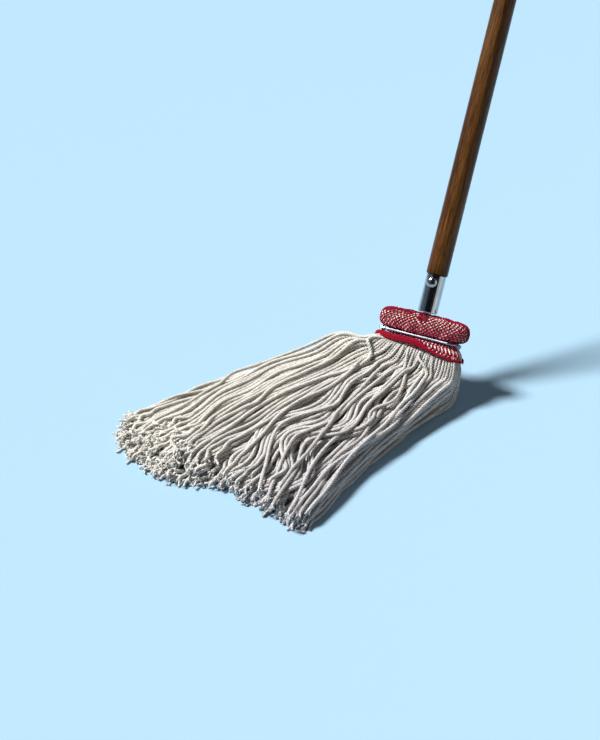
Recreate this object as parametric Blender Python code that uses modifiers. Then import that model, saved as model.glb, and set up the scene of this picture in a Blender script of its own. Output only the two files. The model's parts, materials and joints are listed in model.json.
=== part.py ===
"""String mop with a wooden handle, a chrome ferrule, a T-shaped crossbar, a
sewn mesh head band, a two-piece wire clamp and a fan of cotton yarn.

Units are metres, +Z is up. The origin is the middle of the flat underside of
the yarn, where the mop head rests on the floor. +X runs along the crossbar
and the handle leans back towards +Y.
"""

import math

import bmesh
import bpy
from mathutils import Matrix, Vector

MM = 0.001

# ---------------------------------------------------------------- dimensions
HEAD_X, HEAD_Y, HEAD_Z = 0.090, 0.210, 0.085   # centre of the crossbar
LEAN_DEG = 30.5            # handle's lean back from vertical

HANDLE_R = 14.3 * MM       # 1 1/8 in shaft
HANDLE_LEN = 1371.6 * MM   # 54 in, tenon included
TENON_R = 11.6 * MM
TENON_BOTTOM = 34.5 * MM   # heights along the handle, from the crossbar
SHOULDER = 69.2 * MM

FERRULE_R = 13.0 * MM
FERRULE_WALL = 1.0 * MM
FERRULE_BOTTOM, FERRULE_TOP = 19.0 * MM, 68.8 * MM

BOLT_AT = 58.0 * MM
BOLT_SHANK_R = 3.1 * MM
BOLT_HEAD_R = 7.0 * MM
BOLT_HEAD_RISE = 3.6 * MM
RIVET_AT = 23.0 * MM
RIVET_TURN_DEG = 72.0      # round the ferrule, from the front towards +X
RIVET_R = 1.5 * MM
STEM_R = 5.5 * MM
CROSSBAR_R = 5.0 * MM
CROSSBAR_LEN = 112.0 * MM

BAND_WALL = 1.2 * MM
HEM_TALL = 6.5 * MM
HEM_THICK = 1.3 * MM
GAP = 0.35 * MM            # between two pieces that touch

WIRE_R = 1.6 * MM
CLAMP_AT = -14.0 * MM      # height of the wire clamp below the crossbar
POST_X, POST_Y = 53.0 * MM, -6.0 * MM
EYE_R = 3.55 * MM          # of the eye's centre line, round the post

# Outline of the head band in planes square to the handle:
# height, half length along X, half depth.
BAND = [
    (-35.0, 62.0, 15.4),
    (-31.0, 61.0, 14.8),
    (-25.0, 56.4, 13.0),
    (-19.5, 50.2, 11.3),
    (-16.5, 47.2, 10.8),
    (-14.0, 46.4, 10.6),
    (-11.8, 47.6, 10.9),
    (-8.6, 56.0, 13.2),
    (-4.0, 61.4, 15.0),
    (1.0, 62.4, 15.6),
    (6.0, 61.8, 14.9),
    (10.5, 59.4, 12.8),
    (13.8, 54.0, 9.8),
    (15.6, 42.0, 7.8),
    (16.4, 9.0, 6.9),
]
BAND_POWER = 3.0

# Middle line of the yarn along its left edge, its middle and its right edge,
# from the hem to the tips, as x and y from the crossbar and the yarn's depth.
YARN_LEFT = [(-60.5, -18.8), (-92, -18), (-140, -52), (-195, -118), (-245, -202), (-289, -302)]
YARN_MID = [(0, -18.8), (-16, -38), (-44, -74), (-78, -142), (-112, -242), (-148, -360)]
YARN_RIGHT = [(60.5, -18.8), (60, -38), (53, -68), (38, -128), (20, -232), (14, -374)]
YARN_DEPTH = [26.4, 41.0, 45.0, 37.0, 28.0, 17.0]
YARN_HEIGHT = [54.0, 40.0, 26.0, 18.5, 14.0, 8.5]
HEM_RISE = 8.5             # the hem sits higher at its left end than at its right
COLUMNS = ["left", "mid_left", "centre", "mid_right", "right"]
STATIONS = 13

# ------------------------------------------------------------------- helpers
for thing in list(bpy.data.objects):
    bpy.data.objects.remove(thing, do_unlink=True)


def new_collection(name):
    made = bpy.data.collections.new(name)
    bpy.context.scene.collection.children.link(made)
    return made


PARTS = new_collection("string_mop")
CUTTERS = new_collection("string_mop_cutters")


def ease(f):
    f = min(max(f, 0.0), 1.0)
    return f * f * (3 - 2 * f)


def hem_lift(x, height=-40.0):
    """How much higher the head band's lower part sits at x, in millimetres."""
    return HEM_RISE * (1 - ease((x + 12.0) / 66.0)) * min(max((-19.6 - height) / 9.0, 0.0), 1.0)


def material(name, colour, roughness, metallic=0.0):
    made = bpy.data.materials.new(name)
    made.use_nodes = True
    shader = made.node_tree.nodes["Principled BSDF"]
    shader.inputs["Base Color"].default_value = (*colour, 1.0)
    shader.inputs["Roughness"].default_value = roughness
    shader.inputs["Metallic"].default_value = metallic
    return made


WOOD = material("stained_wood", (0.115, 0.052, 0.026), 0.35)
CHROME = material("chrome", (0.62, 0.64, 0.66), 0.16, 1.0)
STEEL = material("zinc_steel", (0.45, 0.46, 0.48), 0.38, 1.0)
WIRE = material("zinc_wire", (0.60, 0.61, 0.63), 0.26, 1.0)
MESH_RED = material("red_mesh", (0.42, 0.012, 0.035), 0.85)
HEM_RED = material("red_hem", (0.34, 0.008, 0.028), 0.9)
THREAD = material("red_thread", (0.50, 0.03, 0.05), 0.7)
YARN = material("cotton_yarn", (0.64, 0.61, 0.56), 0.95)


def empty(name, matrix):
    made = bpy.data.objects.new(name, None)
    PARTS.objects.link(made)
    made.matrix_world = matrix
    return made


HEAD_MATRIX = Matrix.Translation((HEAD_X, HEAD_Y, HEAD_Z)) @ Matrix.Rotation(
    math.radians(-LEAN_DEG), 4, "X"
)
HEAD = empty("head_axis", HEAD_MATRIX)
HINGE_MATRIX = HEAD_MATRIX @ Matrix.Translation((-POST_X, POST_Y, CLAMP_AT))
HINGE = empty("clamp_wire_hinge_axis", HINGE_MATRIX)
FLOOR = empty("floor_below_crossbar", Matrix.Translation((HEAD_X, HEAD_Y, 0.0)))


def add(name, data, mat, parent=HEAD, cutter=False):
    made = bpy.data.objects.new(name, data)
    (CUTTERS if cutter else PARTS).objects.link(made)
    made.parent = parent
    if cutter:
        made.hide_render = True
        made.display_type = "WIRE"
    elif mat:
        data.materials.append(mat)
    return made


def smooth(obj, angle=40):
    obj.data.shade_smooth()
    obj.data.set_sharp_from_angle(angle=math.radians(angle))
    return obj


def turned(name, profile, mat, steps=36, parent=HEAD, cutter=False):
    """A turned piece. The profile is (radius, height) from the top of the axis
    down the outer side to the bottom."""
    data = bpy.data.meshes.new(name)
    data.from_pydata(
        [(r, 0.0, z) for r, z in profile], [(i, i + 1) for i in range(len(profile) - 1)], []
    )
    made = add(name, data, mat, parent, cutter)
    screw = made.modifiers.new("turn", "SCREW")
    screw.axis = "Z"
    screw.steps = screw.render_steps = steps
    screw.use_merge_vertices = True
    screw.merge_threshold = 0.00005
    screw.use_smooth_shade = True
    return made


def boolean(obj, cutter, operation="DIFFERENCE"):
    made = obj.modifiers.new(operation.lower() + "_" + cutter.name, "BOOLEAN")
    made.operation = operation
    made.solver = "EXACT"
    made.object = cutter


def rod(name, radius, low, high, mat=None, steps=20, cutter=True, parent=HEAD):
    """A plain round rod from low to high along Z."""
    return turned(
        name, [(0, high), (radius, high), (radius, low), (0, low)], mat, steps, parent, cutter
    )


def loft(name, rings, mat, parent=HEAD, caps=True, strips=False):
    """One surface through rings of points, all of the same count. Its ends are
    single faces, or strips across rings whose points come in mirrored pairs."""
    mesh = bmesh.new()
    rows = [[mesh.verts.new(p) for p in ring] for ring in rings]
    for one, two in zip(rows, rows[1:]):
        for i in range(len(one)):
            j = (i + 1) % len(one)
            mesh.faces.new((one[i], one[j], two[j], two[i]))
    if strips:
        for ring in (rows[0], rows[-1]):
            last = len(ring) - 1
            for i in range(len(ring) // 2 - 1):
                mesh.faces.new((ring[i], ring[i + 1], ring[last - i - 1], ring[last - i]))
    elif caps:
        mesh.faces.new(rows[0][::-1])
        mesh.faces.new(rows[-1])
    if caps:
        bmesh.ops.recalc_face_normals(mesh, faces=mesh.faces[:])
    data = bpy.data.meshes.new(name)
    mesh.to_mesh(data)
    mesh.free()
    return smooth(add(name, data, mat, parent), 50)


def catmull(points, at):
    """A point on the smooth curve through points, at 0 to 1."""
    spans = len(points) - 1
    place = min(max(at, 0.0), 1.0) * spans
    i = min(int(place), spans - 1)
    f = place - i
    p0 = points[max(i - 1, 0)]
    p1, p2 = points[i], points[i + 1]
    p3 = points[min(i + 2, spans)]
    return tuple(
        0.5
        * (
            2 * b
            + (c - a) * f
            + (2 * a - 5 * b + 4 * c - d) * f * f
            + (3 * b - a - 3 * c + d) * f**3
        )
        for a, b, c, d in zip(p0, p1, p2, p3)
    )


def wire(name, points, radius, mat, parent=HEAD, sides=2):
    data = bpy.data.curves.new(name, "CURVE")
    data.dimensions = "3D"
    data.bevel_depth = radius
    data.bevel_resolution = sides
    data.use_fill_caps = True
    spline = data.splines.new("POLY")
    spline.points.add(len(points) - 1)
    for point, place in zip(spline.points, points):
        point.co = (*place, 1.0)
    return add(name, data, mat, parent)


# -------------------------------------------------------------------- handle
TOP = TENON_BOTTOM + HANDLE_LEN
bolt_hole = rod("bolt_hole_cutter", BOLT_SHANK_R + GAP, -20 * MM, 20 * MM)
bolt_hole.location = (0, 0, BOLT_AT)
bolt_hole.rotation_euler = (math.radians(90), 0, 0)

rivet_axis = Matrix.Translation((0, 0, RIVET_AT)) @ Matrix.Rotation(
    math.radians(RIVET_TURN_DEG - 90), 4, "Z"
) @ Matrix.Rotation(math.radians(90), 4, "Y")
rivet_hole = rod("rivet_hole_cutter", RIVET_R + GAP, -20 * MM, 20 * MM, steps=14)
rivet_hole.matrix_basis = rivet_axis

handle = turned(
    "handle",
    [
        (0, TOP),
        (8.5 * MM, TOP),
        (12.2 * MM, TOP - 1.6 * MM),
        (13.8 * MM, TOP - 4.6 * MM),
        (HANDLE_R, TOP - 9 * MM),
        (HANDLE_R, SHOULDER + 1.2 * MM),
        (HANDLE_R - 0.9 * MM, SHOULDER),
        (TENON_R, SHOULDER),
        (TENON_R, TENON_BOTTOM + 1.2 * MM),
        (TENON_R - 1.2 * MM, TENON_BOTTOM),
        (0, TENON_BOTTOM),
    ],
    WOOD,
    36,
)
boolean(handle, bolt_hole)

# ------------------------------------------------------------------- ferrule
inner = FERRULE_R - FERRULE_WALL
ferrule_data = [
    (inner, FERRULE_TOP),
    (FERRULE_R - 0.4 * MM, FERRULE_TOP),
    (FERRULE_R, FERRULE_TOP - 0.5 * MM),
    (FERRULE_R, FERRULE_BOTTOM + 0.5 * MM),
    (FERRULE_R - 0.4 * MM, FERRULE_BOTTOM),
    (inner, FERRULE_BOTTOM),
    (inner, FERRULE_TOP),
]
ferrule = turned("ferrule", ferrule_data, CHROME, 36)
boolean(ferrule, bolt_hole)
boolean(ferrule, rivet_hole)

# ------------------------------------- through bolt, its washer and its nut
head_base = FERRULE_R - 1.6 * MM
dome = [
    (
        BOLT_HEAD_R * math.sin(math.radians(a)),
        head_base + 1.4 * MM + (BOLT_HEAD_RISE + 0.3 * MM) * math.cos(math.radians(a)),
    )
    for a in range(0, 91, 15)
]
bolt_head = turned(
    "bolt_head_form",
    dome + [(BOLT_HEAD_R, head_base), (0, head_base)],
    None,
    28,
    cutter=True,
)
bolt_head.location = (0, 0, BOLT_AT)
bolt_head.rotation_euler = (math.radians(90), 0, 0)
tube_form = rod("tube_form_cutter", FERRULE_R + GAP, 30 * MM, 90 * MM, steps=36)
boolean(bolt_head, tube_form)

bolt = turned(
    "ferrule_bolt",
    [
        (0, FERRULE_R + 1.6 * MM),
        (BOLT_SHANK_R, FERRULE_R + 1.6 * MM),
        (BOLT_SHANK_R, -FERRULE_R - 8.2 * MM),
        (BOLT_SHANK_R - 0.6 * MM, -FERRULE_R - 9.0 * MM),
        (0, -FERRULE_R - 9.0 * MM),
    ],
    CHROME,
    24,
)
bolt.location = (0, 0, BOLT_AT)
bolt.rotation_euler = (math.radians(90), 0, 0)
boolean(bolt, bolt_head, "UNION")

washer_low = FERRULE_R + GAP
washer = turned(
    "bolt_washer",
    [
        (BOLT_SHANK_R + GAP, 1.3 * MM),
        (6.9 * MM, 1.3 * MM),
        (7.1 * MM, 1.0 * MM),
        (7.1 * MM, 0),
        (BOLT_SHANK_R + GAP, 0),
        (BOLT_SHANK_R + GAP, 1.3 * MM),
    ],
    STEEL,
    24,
)
washer.location = (0, washer_low, BOLT_AT)
washer.rotation_euler = (math.radians(-90), 0, 0)

nut_mesh = bmesh.new()
bmesh.ops.create_cone(
    nut_mesh,
    cap_ends=True,
    segments=6,
    radius1=6.35 * MM,
    radius2=6.35 * MM,
    depth=5.2 * MM,
)
nut_data = bpy.data.meshes.new("bolt_nut")
nut_mesh.to_mesh(nut_data)
nut_mesh.free()
nut = add("bolt_nut", nut_data, STEEL)
nut.location = (0, washer_low + 1.3 * MM + GAP + 2.6 * MM, BOLT_AT)
nut.rotation_euler = (math.radians(-90), 0, math.radians(0))
nut_bevel = nut.modifiers.new("edges", "BEVEL")
nut_bevel.width = 0.4 * MM
nut_bevel.segments = 1
nut_bore = rod("nut_bore_cutter", BOLT_SHANK_R + GAP, -10 * MM, 10 * MM, steps=20)
nut_bore.location = nut.location
nut_bore.rotation_euler = nut.rotation_euler
boolean(nut, nut_bore)

# ----------------------------------------- steel neck inside the ferrule's end
plug = turned(
    "neck_plug",
    [
        (STEM_R + GAP, TENON_BOTTOM - GAP),
        (inner - GAP - 0.6 * MM, TENON_BOTTOM - GAP),
        (inner - GAP, TENON_BOTTOM - GAP - 0.6 * MM),
        (inner - GAP, FERRULE_BOTTOM + 1.0 * MM),
        (inner - GAP - 0.8 * MM, FERRULE_BOTTOM - 0.6 * MM),
        (STEM_R + GAP, FERRULE_BOTTOM - 0.6 * MM),
        (STEM_R + GAP, TENON_BOTTOM - GAP),
    ],
    STEEL,
    30,
)
boolean(plug, rivet_hole)

rivet_tip = FERRULE_R + 1.0 * MM
rivet_seat = FERRULE_R + 0.12 * MM
rivet = turned(
    "neck_rivet",
    [
        (0, rivet_tip),
        (1.3 * MM, rivet_tip - 0.15 * MM),
        (2.2 * MM, rivet_tip - 0.55 * MM),
        (2.4 * MM, rivet_seat),
        (RIVET_R, rivet_seat),
        (RIVET_R, -rivet_seat),
        (2.4 * MM, -rivet_seat),
        (2.2 * MM, -rivet_tip + 0.55 * MM),
        (1.3 * MM, -rivet_tip + 0.15 * MM),
        (0, -rivet_tip),
    ],
    STEEL,
    16,
)
rivet.matrix_basis = rivet_axis

stem = turned(
    "stem",
    [
        (0, TENON_BOTTOM - 1.6 * MM),
        (STEM_R - 0.6 * MM, TENON_BOTTOM - 1.6 * MM),
        (STEM_R, TENON_BOTTOM - 2.2 * MM),
        (STEM_R, 0.0),
        (0, 0.0),
    ],
    STEEL,
    24,
)
boolean(stem, rivet_hole)
saddle = rod("stem_saddle_cutter", CROSSBAR_R + GAP, -70 * MM, 70 * MM, steps=28)
saddle.rotation_euler = (0, math.radians(90), 0)
boolean(stem, saddle)

half = CROSSBAR_LEN / 2
crossbar = turned(
    "crossbar",
    [
        (0, half),
        (2.6 * MM, half - 0.6 * MM),
        (4.3 * MM, half - 2.2 * MM),
        (CROSSBAR_R, half - 5.0 * MM),
        (CROSSBAR_R, -half + 5.0 * MM),
        (4.3 * MM, -half + 2.2 * MM),
        (2.6 * MM, -half + 0.6 * MM),
        (0, -half),
    ],
    STEEL,
    24,
)
crossbar.rotation_euler = (0, math.radians(90), 0)

# ----------------------------------------------------------------- head band
def band_ring(height, length, depth, count=36):
    """A flattened oval in a plane square to the handle, in metres."""
    ring = []
    for i in range(count):
        a = 2 * math.pi * (i + 0.5) / count
        c, s = math.cos(a), math.sin(a)
        x = length * math.copysign(abs(c) ** (2 / BAND_POWER), c)
        y = depth * math.copysign(abs(s) ** (2 / BAND_POWER), s)
        ring.append((x * MM, y * MM, (height + hem_lift(x, height)) * MM))
    return ring


def band_at(height):
    """Half length and half depth of the band at a height, in millimetres."""
    for (h0, a0, b0), (h1, a1, b1) in zip(BAND, BAND[1:]):
        if h0 <= height <= h1:
            f = (height - h0) / (h1 - h0)
            f = f * f * (3 - 2 * f) * 0.35 + f * 0.65
            return a0 + (a1 - a0) * f, b0 + (b1 - b0) * f
    raise ValueError(height)


band = loft("headband_mesh", [band_ring(*row) for row in BAND], MESH_RED, caps=False)
thick = band.modifiers.new("cloth", "SOLIDIFY")
thick.thickness = BAND_WALL
thick.offset = 1.0 if band.data.polygons[0].normal.dot(band.data.polygons[0].center) < 0 else -1.0
thick.use_even_offset = True

slit_mesh = bmesh.new()
bmesh.ops.create_cube(slit_mesh, size=1.0)
slit_data = bpy.data.meshes.new("side_slit_cutter")
bmesh.ops.scale(slit_mesh, vec=(160 * MM, 7.0 * MM, 19.4 * MM), verts=slit_mesh.verts)
slit_mesh.to_mesh(slit_data)
slit_mesh.free()
slit = add("side_slit_cutter", slit_data, None, cutter=True)
slit.location = (0, 0, -26.5 * MM)
boolean(band, slit)


FLAP_SPAN = 0.955


def flap(name, side, low, high, out, thickness, mat):
    """A strip outside the front (side -1) or rear (side 1) flap of the band."""
    rows = []
    for i in range(3):
        h = low + (high - low) * i / 2
        a, b = band_at(h)
        row = []
        for j in range(21):
            x = (a + out) * FLAP_SPAN * math.sin(math.radians(90 - 9 * j))
            y = side * (b + out) * (1 - abs(x / (a + out)) ** BAND_POWER) ** (1 / BAND_POWER)
            row.append(Vector((x, y, h + hem_lift(x, h))) * MM)
        rows.append(row)
    mesh = bmesh.new()
    grid = [[mesh.verts.new(p) for p in row] for row in rows]
    for one, two in zip(grid, grid[1:]):
        for i in range(len(one) - 1):
            corners = (one[i], one[i + 1], two[i + 1], two[i])
            mesh.faces.new(corners if side < 0 else corners[::-1])
    data = bpy.data.meshes.new(name)
    mesh.to_mesh(data)
    mesh.free()
    made = smooth(add(name, data, mat), 50)
    middle = data.polygons[10]
    outward = middle.normal.y * side > 0
    solid = made.modifiers.new("tape", "SOLIDIFY")
    solid.thickness = thickness
    solid.offset = 1.0 if outward else -1.0
    solid.use_even_offset = True
    return made


HEM_LOW, HEM_HIGH = -34.6, -34.6 + HEM_TALL / MM
OUT = GAP / MM
flap("front_hem", -1, HEM_LOW, HEM_HIGH, OUT, HEM_THICK, HEM_RED)
flap("rear_hem", 1, HEM_LOW, HEM_HIGH, OUT, HEM_THICK, HEM_RED)


def stitch_row(name, side):
    """One zigzag thread along the outside of a hem."""
    points = []
    count = 40
    lift = OUT + HEM_THICK / MM + 0.4 + 0.38
    for i in range(count + 1):
        h = HEM_LOW + (2.0 if i % 2 else 4.6)
        a, b = band_at(h)
        x = (a + lift) * 0.9 * (2 * i / count - 1)
        y = side * (b + lift) * (1 - abs(x / (a + lift)) ** BAND_POWER) ** (1 / BAND_POWER)
        points.append(Vector((x, y, h + hem_lift(x, h))) * MM)
    return wire(name, points, 0.38 * MM, THREAD, sides=0)


stitch_row("front_hem_stitch", -1)
stitch_row("rear_hem_stitch", 1)

# --------------------------------------- yarn folded over the crossbar, inside
def inner_rings(inset, count):
    """The band's rings moved inwards, square to its surface."""
    rows = [[Vector(p) for p in band_ring(*row, count=count)] for row in BAND]
    moved = []
    for k, row in enumerate(rows):
        below, above = rows[max(k - 1, 0)], rows[min(k + 1, len(rows) - 1)]
        ring = []
        for i, point in enumerate(row):
            along = row[(i + 1) % count] - row[i - 1]
            rise = above[i] - below[i]
            ring.append(point - along.cross(rise).normalized() * inset)
        moved.append(ring)
    for point in moved[0]:
        point.z += 0.5 * MM
    return moved


core_rings = inner_rings(BAND_WALL + GAP + 0.4 * MM, 28)
core = loft("yarn_core", core_rings, YARN, strips=True)
bar_room = rod("bar_room_cutter", CROSSBAR_R + GAP, -half - GAP, half + GAP, steps=24)
bar_room.rotation_euler = (0, math.radians(90), 0)
stem_room = rod("stem_room_cutter", STEM_R + GAP, 0, 40 * MM, steps=24)
boolean(core, bar_room)
boolean(core, stem_room)

# ---------------------------------------------------------------- wire clamp
def sampled(points, count):
    return [Vector(catmull(points, i / (count - 1))) * MM for i in range(count)]


px, py, cz, bend = POST_X / MM, POST_Y / MM, CLAMP_AT / MM, 4.1
side_run = [
    (-px, py, cz + 3.2),
    (-px, py, cz + 1.0),
    (-px, py, cz - 1.6),
    (-px, py + 1.2, cz - 3.5),
    (-px, py + 3.4, cz - bend),
    (-px - 0.2, py + 6.6, cz - bend + 0.6),
    (-px - 0.2, py + 9.8, cz - bend + 2.4),
    (-px + 0.4, py + 13.2, cz - 0.4),
    (-px + 2.4, py + 16.6, cz),
    (-px + 6.0, py + 18.6, cz),
    (-px + 11.0, 12.65, cz),
]
back_run = [(-20.0, 12.65, cz), (0.0, 12.65, cz), (20.0, 12.65, cz)]
rear_path = side_run + back_run + [(-x, y, z) for x, y, z in side_run[::-1]]
wire("rear_clamp_wire", sampled(rear_path, 60), WIRE_R, WIRE)

eye = EYE_R / MM
arm_y = -12.65 - py
reach = 2 * px
gate = [
    (eye * math.cos(math.radians(a)), eye * math.sin(math.radians(a)), 0.0)
    for a in range(10, 271, 20)
]
gate += [(4.2, -eye - 0.55, 0.0), (8.0, -eye - 1.9, 0.0), (12.5, arm_y - 0.12, 0.0)]
gate += [(22.0, arm_y, 0.0), (38.0, arm_y, 0.0), (reach / 2, arm_y, 0.0)]
gate += [(reach - 38.0, arm_y, 0.0), (reach - 22.0, arm_y, 0.0)]
gate += [(reach - 12.5, arm_y - 0.12, 0.0), (reach - 8.0, -eye - 1.9, 0.0), (reach - 4.2, -eye - 0.55, 0.0)]
gate += [
    (reach + eye * math.cos(math.radians(a)), eye * math.sin(math.radians(a)), 0.0)
    for a in range(-90, 11, 20)
]
wire("front_clamp_wire", [Vector(p) * MM for p in gate], WIRE_R, WIRE, HINGE)

# ---------------------------------------------------------------- yarn tails
def across(u, along, index):
    """A value between the left edge, the middle and the right edge of the yarn."""
    left, mid, right = (
        catmull(path, along)[index] for path in (YARN_LEFT, YARN_MID, YARN_RIGHT)
    )
    return (
        left * 2 * (u - 0.5) * (u - 1.0) + mid * 4 * u * (1.0 - u) + right * 2 * u * (u - 0.5)
    )


def yarn_point(u, v, along):
    """A point in the yarn: u from left to right, v from the underside (-1) to
    the top (1), along from the hem (0) to the tips (1), in millimetres."""
    x, y = across(u, along, 0), across(u, along, 1)
    depth = catmull([(d,) for d in YARN_DEPTH], along)[0]
    height = catmull([(d,) for d in YARN_HEIGHT], along)[0]
    depth *= 1 - (0.06 + 0.18 * ease((along - 0.3) / 0.6)) * abs(2 * u - 1) ** 5
    drop = 0.42 - 0.16 * u
    lean = math.radians(90 - LEAN_DEG) * (1 - ease(along / drop))
    up = Vector((0.0, -math.sin(lean), math.cos(lean)))
    settled = ease(along / drop)
    height = height * (1 - settled) + depth / 2 * settled
    place = Vector((x, y, height)) + up * (v * depth / 2)
    rise = hem_lift(x) * (1 - ease(along / 0.2))
    place += Vector((0.0, math.sin(math.radians(LEAN_DEG)), math.cos(math.radians(LEAN_DEG)))) * rise
    place.z = max(place.z, 0.0)
    return place


def cell(u0, u1, v0, v1, shrink=0.0):
    """Corners of a bundle's section, with its corners cut."""
    mid_u, mid_v = (u0 + u1) / 2, (v0 + v1) / 2
    half_u, half_v = (u1 - u0) / 2 * (1 - shrink), (v1 - v0) / 2
    outline = [
        (-0.72, -1), (0.0, -1), (0.72, -1), (0.94, -0.74), (1, 0.0), (0.94, 0.74),
        (0.72, 1), (0.0, 1), (-0.72, 1), (-0.94, 0.74), (-1, 0.0), (-0.94, -0.74),
    ]
    return [(mid_u + half_u * a, mid_v + half_v * b) for a, b in outline]


def bundle(name, column, upper):
    u0, u1 = column / len(COLUMNS), (column + 1) / len(COLUMNS)
    side = 0.0028
    v0, v1 = (0.045, 1.0) if upper else (-1.0, -0.045)
    end = 0.93 if upper else 1.0
    places = [(i / (STATIONS - 1)) ** 1.12 for i in range(STATIONS)]
    places = [along for along in places if along < end] + [end]
    rings = []
    for along in places:
        last = along == end
        section = cell(u0 + side, u1 - side, v0, v1, 0.22 if last else 0.0)
        rings.append([yarn_point(u, v, along) * MM for u, v in section])
    return loft(name, rings, YARN, FLOOR)


for number, column_name in enumerate(COLUMNS):
    bundle(f"yarn_front_{column_name}", number, True)
    bundle(f"yarn_rear_{column_name}", number, False)
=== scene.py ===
"""The looks of the string mop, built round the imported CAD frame."""

import math

import bmesh
import bpy
import numpy as np
from mathutils import Matrix, Vector
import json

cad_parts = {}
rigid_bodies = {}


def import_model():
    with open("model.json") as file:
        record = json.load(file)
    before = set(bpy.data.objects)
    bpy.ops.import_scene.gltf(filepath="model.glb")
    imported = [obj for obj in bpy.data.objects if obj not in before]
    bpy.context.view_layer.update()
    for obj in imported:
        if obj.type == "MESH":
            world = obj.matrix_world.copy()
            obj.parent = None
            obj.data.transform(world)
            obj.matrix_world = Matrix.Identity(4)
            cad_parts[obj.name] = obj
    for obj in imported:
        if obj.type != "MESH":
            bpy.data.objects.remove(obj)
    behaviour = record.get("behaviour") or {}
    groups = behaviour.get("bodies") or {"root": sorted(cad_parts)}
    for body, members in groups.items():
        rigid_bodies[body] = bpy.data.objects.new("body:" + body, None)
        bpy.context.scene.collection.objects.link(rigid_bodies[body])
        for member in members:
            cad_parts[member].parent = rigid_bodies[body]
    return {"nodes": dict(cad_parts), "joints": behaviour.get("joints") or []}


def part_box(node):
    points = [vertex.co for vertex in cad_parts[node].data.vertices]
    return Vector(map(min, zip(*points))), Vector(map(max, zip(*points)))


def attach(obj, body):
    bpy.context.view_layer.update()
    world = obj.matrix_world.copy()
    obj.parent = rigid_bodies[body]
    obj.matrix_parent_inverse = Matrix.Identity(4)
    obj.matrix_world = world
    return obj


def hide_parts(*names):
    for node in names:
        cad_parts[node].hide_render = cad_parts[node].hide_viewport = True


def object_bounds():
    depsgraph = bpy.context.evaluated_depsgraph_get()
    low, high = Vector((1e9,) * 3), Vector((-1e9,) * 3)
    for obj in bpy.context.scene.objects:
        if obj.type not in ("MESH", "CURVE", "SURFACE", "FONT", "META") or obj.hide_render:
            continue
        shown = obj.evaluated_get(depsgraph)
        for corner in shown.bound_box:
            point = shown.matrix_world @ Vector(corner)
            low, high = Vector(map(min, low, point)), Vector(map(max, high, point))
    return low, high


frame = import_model()
CAD_LOW, CAD_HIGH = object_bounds()
NODES = frame["nodes"]
MM = 0.001
BODY = "mop"

for thing in list(bpy.data.objects):
    if thing.type in ("CAMERA", "LIGHT") or thing.name == "Cube":
        bpy.data.objects.remove(thing, do_unlink=True)

# ------------------------------------------------------------- the head's frame
bar_low, bar_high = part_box("crossbar")
HEAD = np.array((bar_low + bar_high) / 2, float)
UP = -np.array(frame["joints"][0]["axis"], float)
UP /= np.linalg.norm(UP)
ACROSS = np.array((1.0, 0.0, 0.0))
BACK = np.cross(UP, ACROSS)
LEAN = math.atan2(UP[1], UP[2])
FOOT = np.array((HEAD[0], HEAD[1], 0.0))


def head(x, y, s):
    """A point given across, back and up the handle from the crossbar, in metres."""
    x, y, s = (np.asarray(a, float)[..., None] for a in (x, y, s))
    return HEAD + x * ACROSS + y * BACK + s * UP


def ease(f):
    f = np.clip(f, 0.0, 1.0)
    return f * f * (3 - 2 * f)


# ---------------------------------------------------------------------- camera
AZIMUTH, ELEVATION = math.radians(27.7), math.radians(31.5)
right = np.array((math.cos(AZIMUTH), math.sin(AZIMUTH), 0.0))
away = np.array(
    (
        math.sin(AZIMUTH) * math.cos(ELEVATION),
        -math.cos(AZIMUTH) * math.cos(ELEVATION),
        math.sin(ELEVATION),
    )
)
upward = np.cross(away, right)
camera_data = bpy.data.cameras.new("camera")
camera_data.lens = 70.0
camera_data.sensor_width = 36.0
camera_data.clip_start, camera_data.clip_end = 0.05, 60.0
camera = bpy.data.objects.new("camera", camera_data)
bpy.context.scene.collection.objects.link(camera)
place = FOOT + np.array((0.617152, -1.524963, 1.021209))
camera.matrix_world = Matrix(
    [[right[i], upward[i], away[i], place[i]] for i in range(3)] + [[0, 0, 0, 1]]
)
bpy.context.scene.camera = camera


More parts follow.
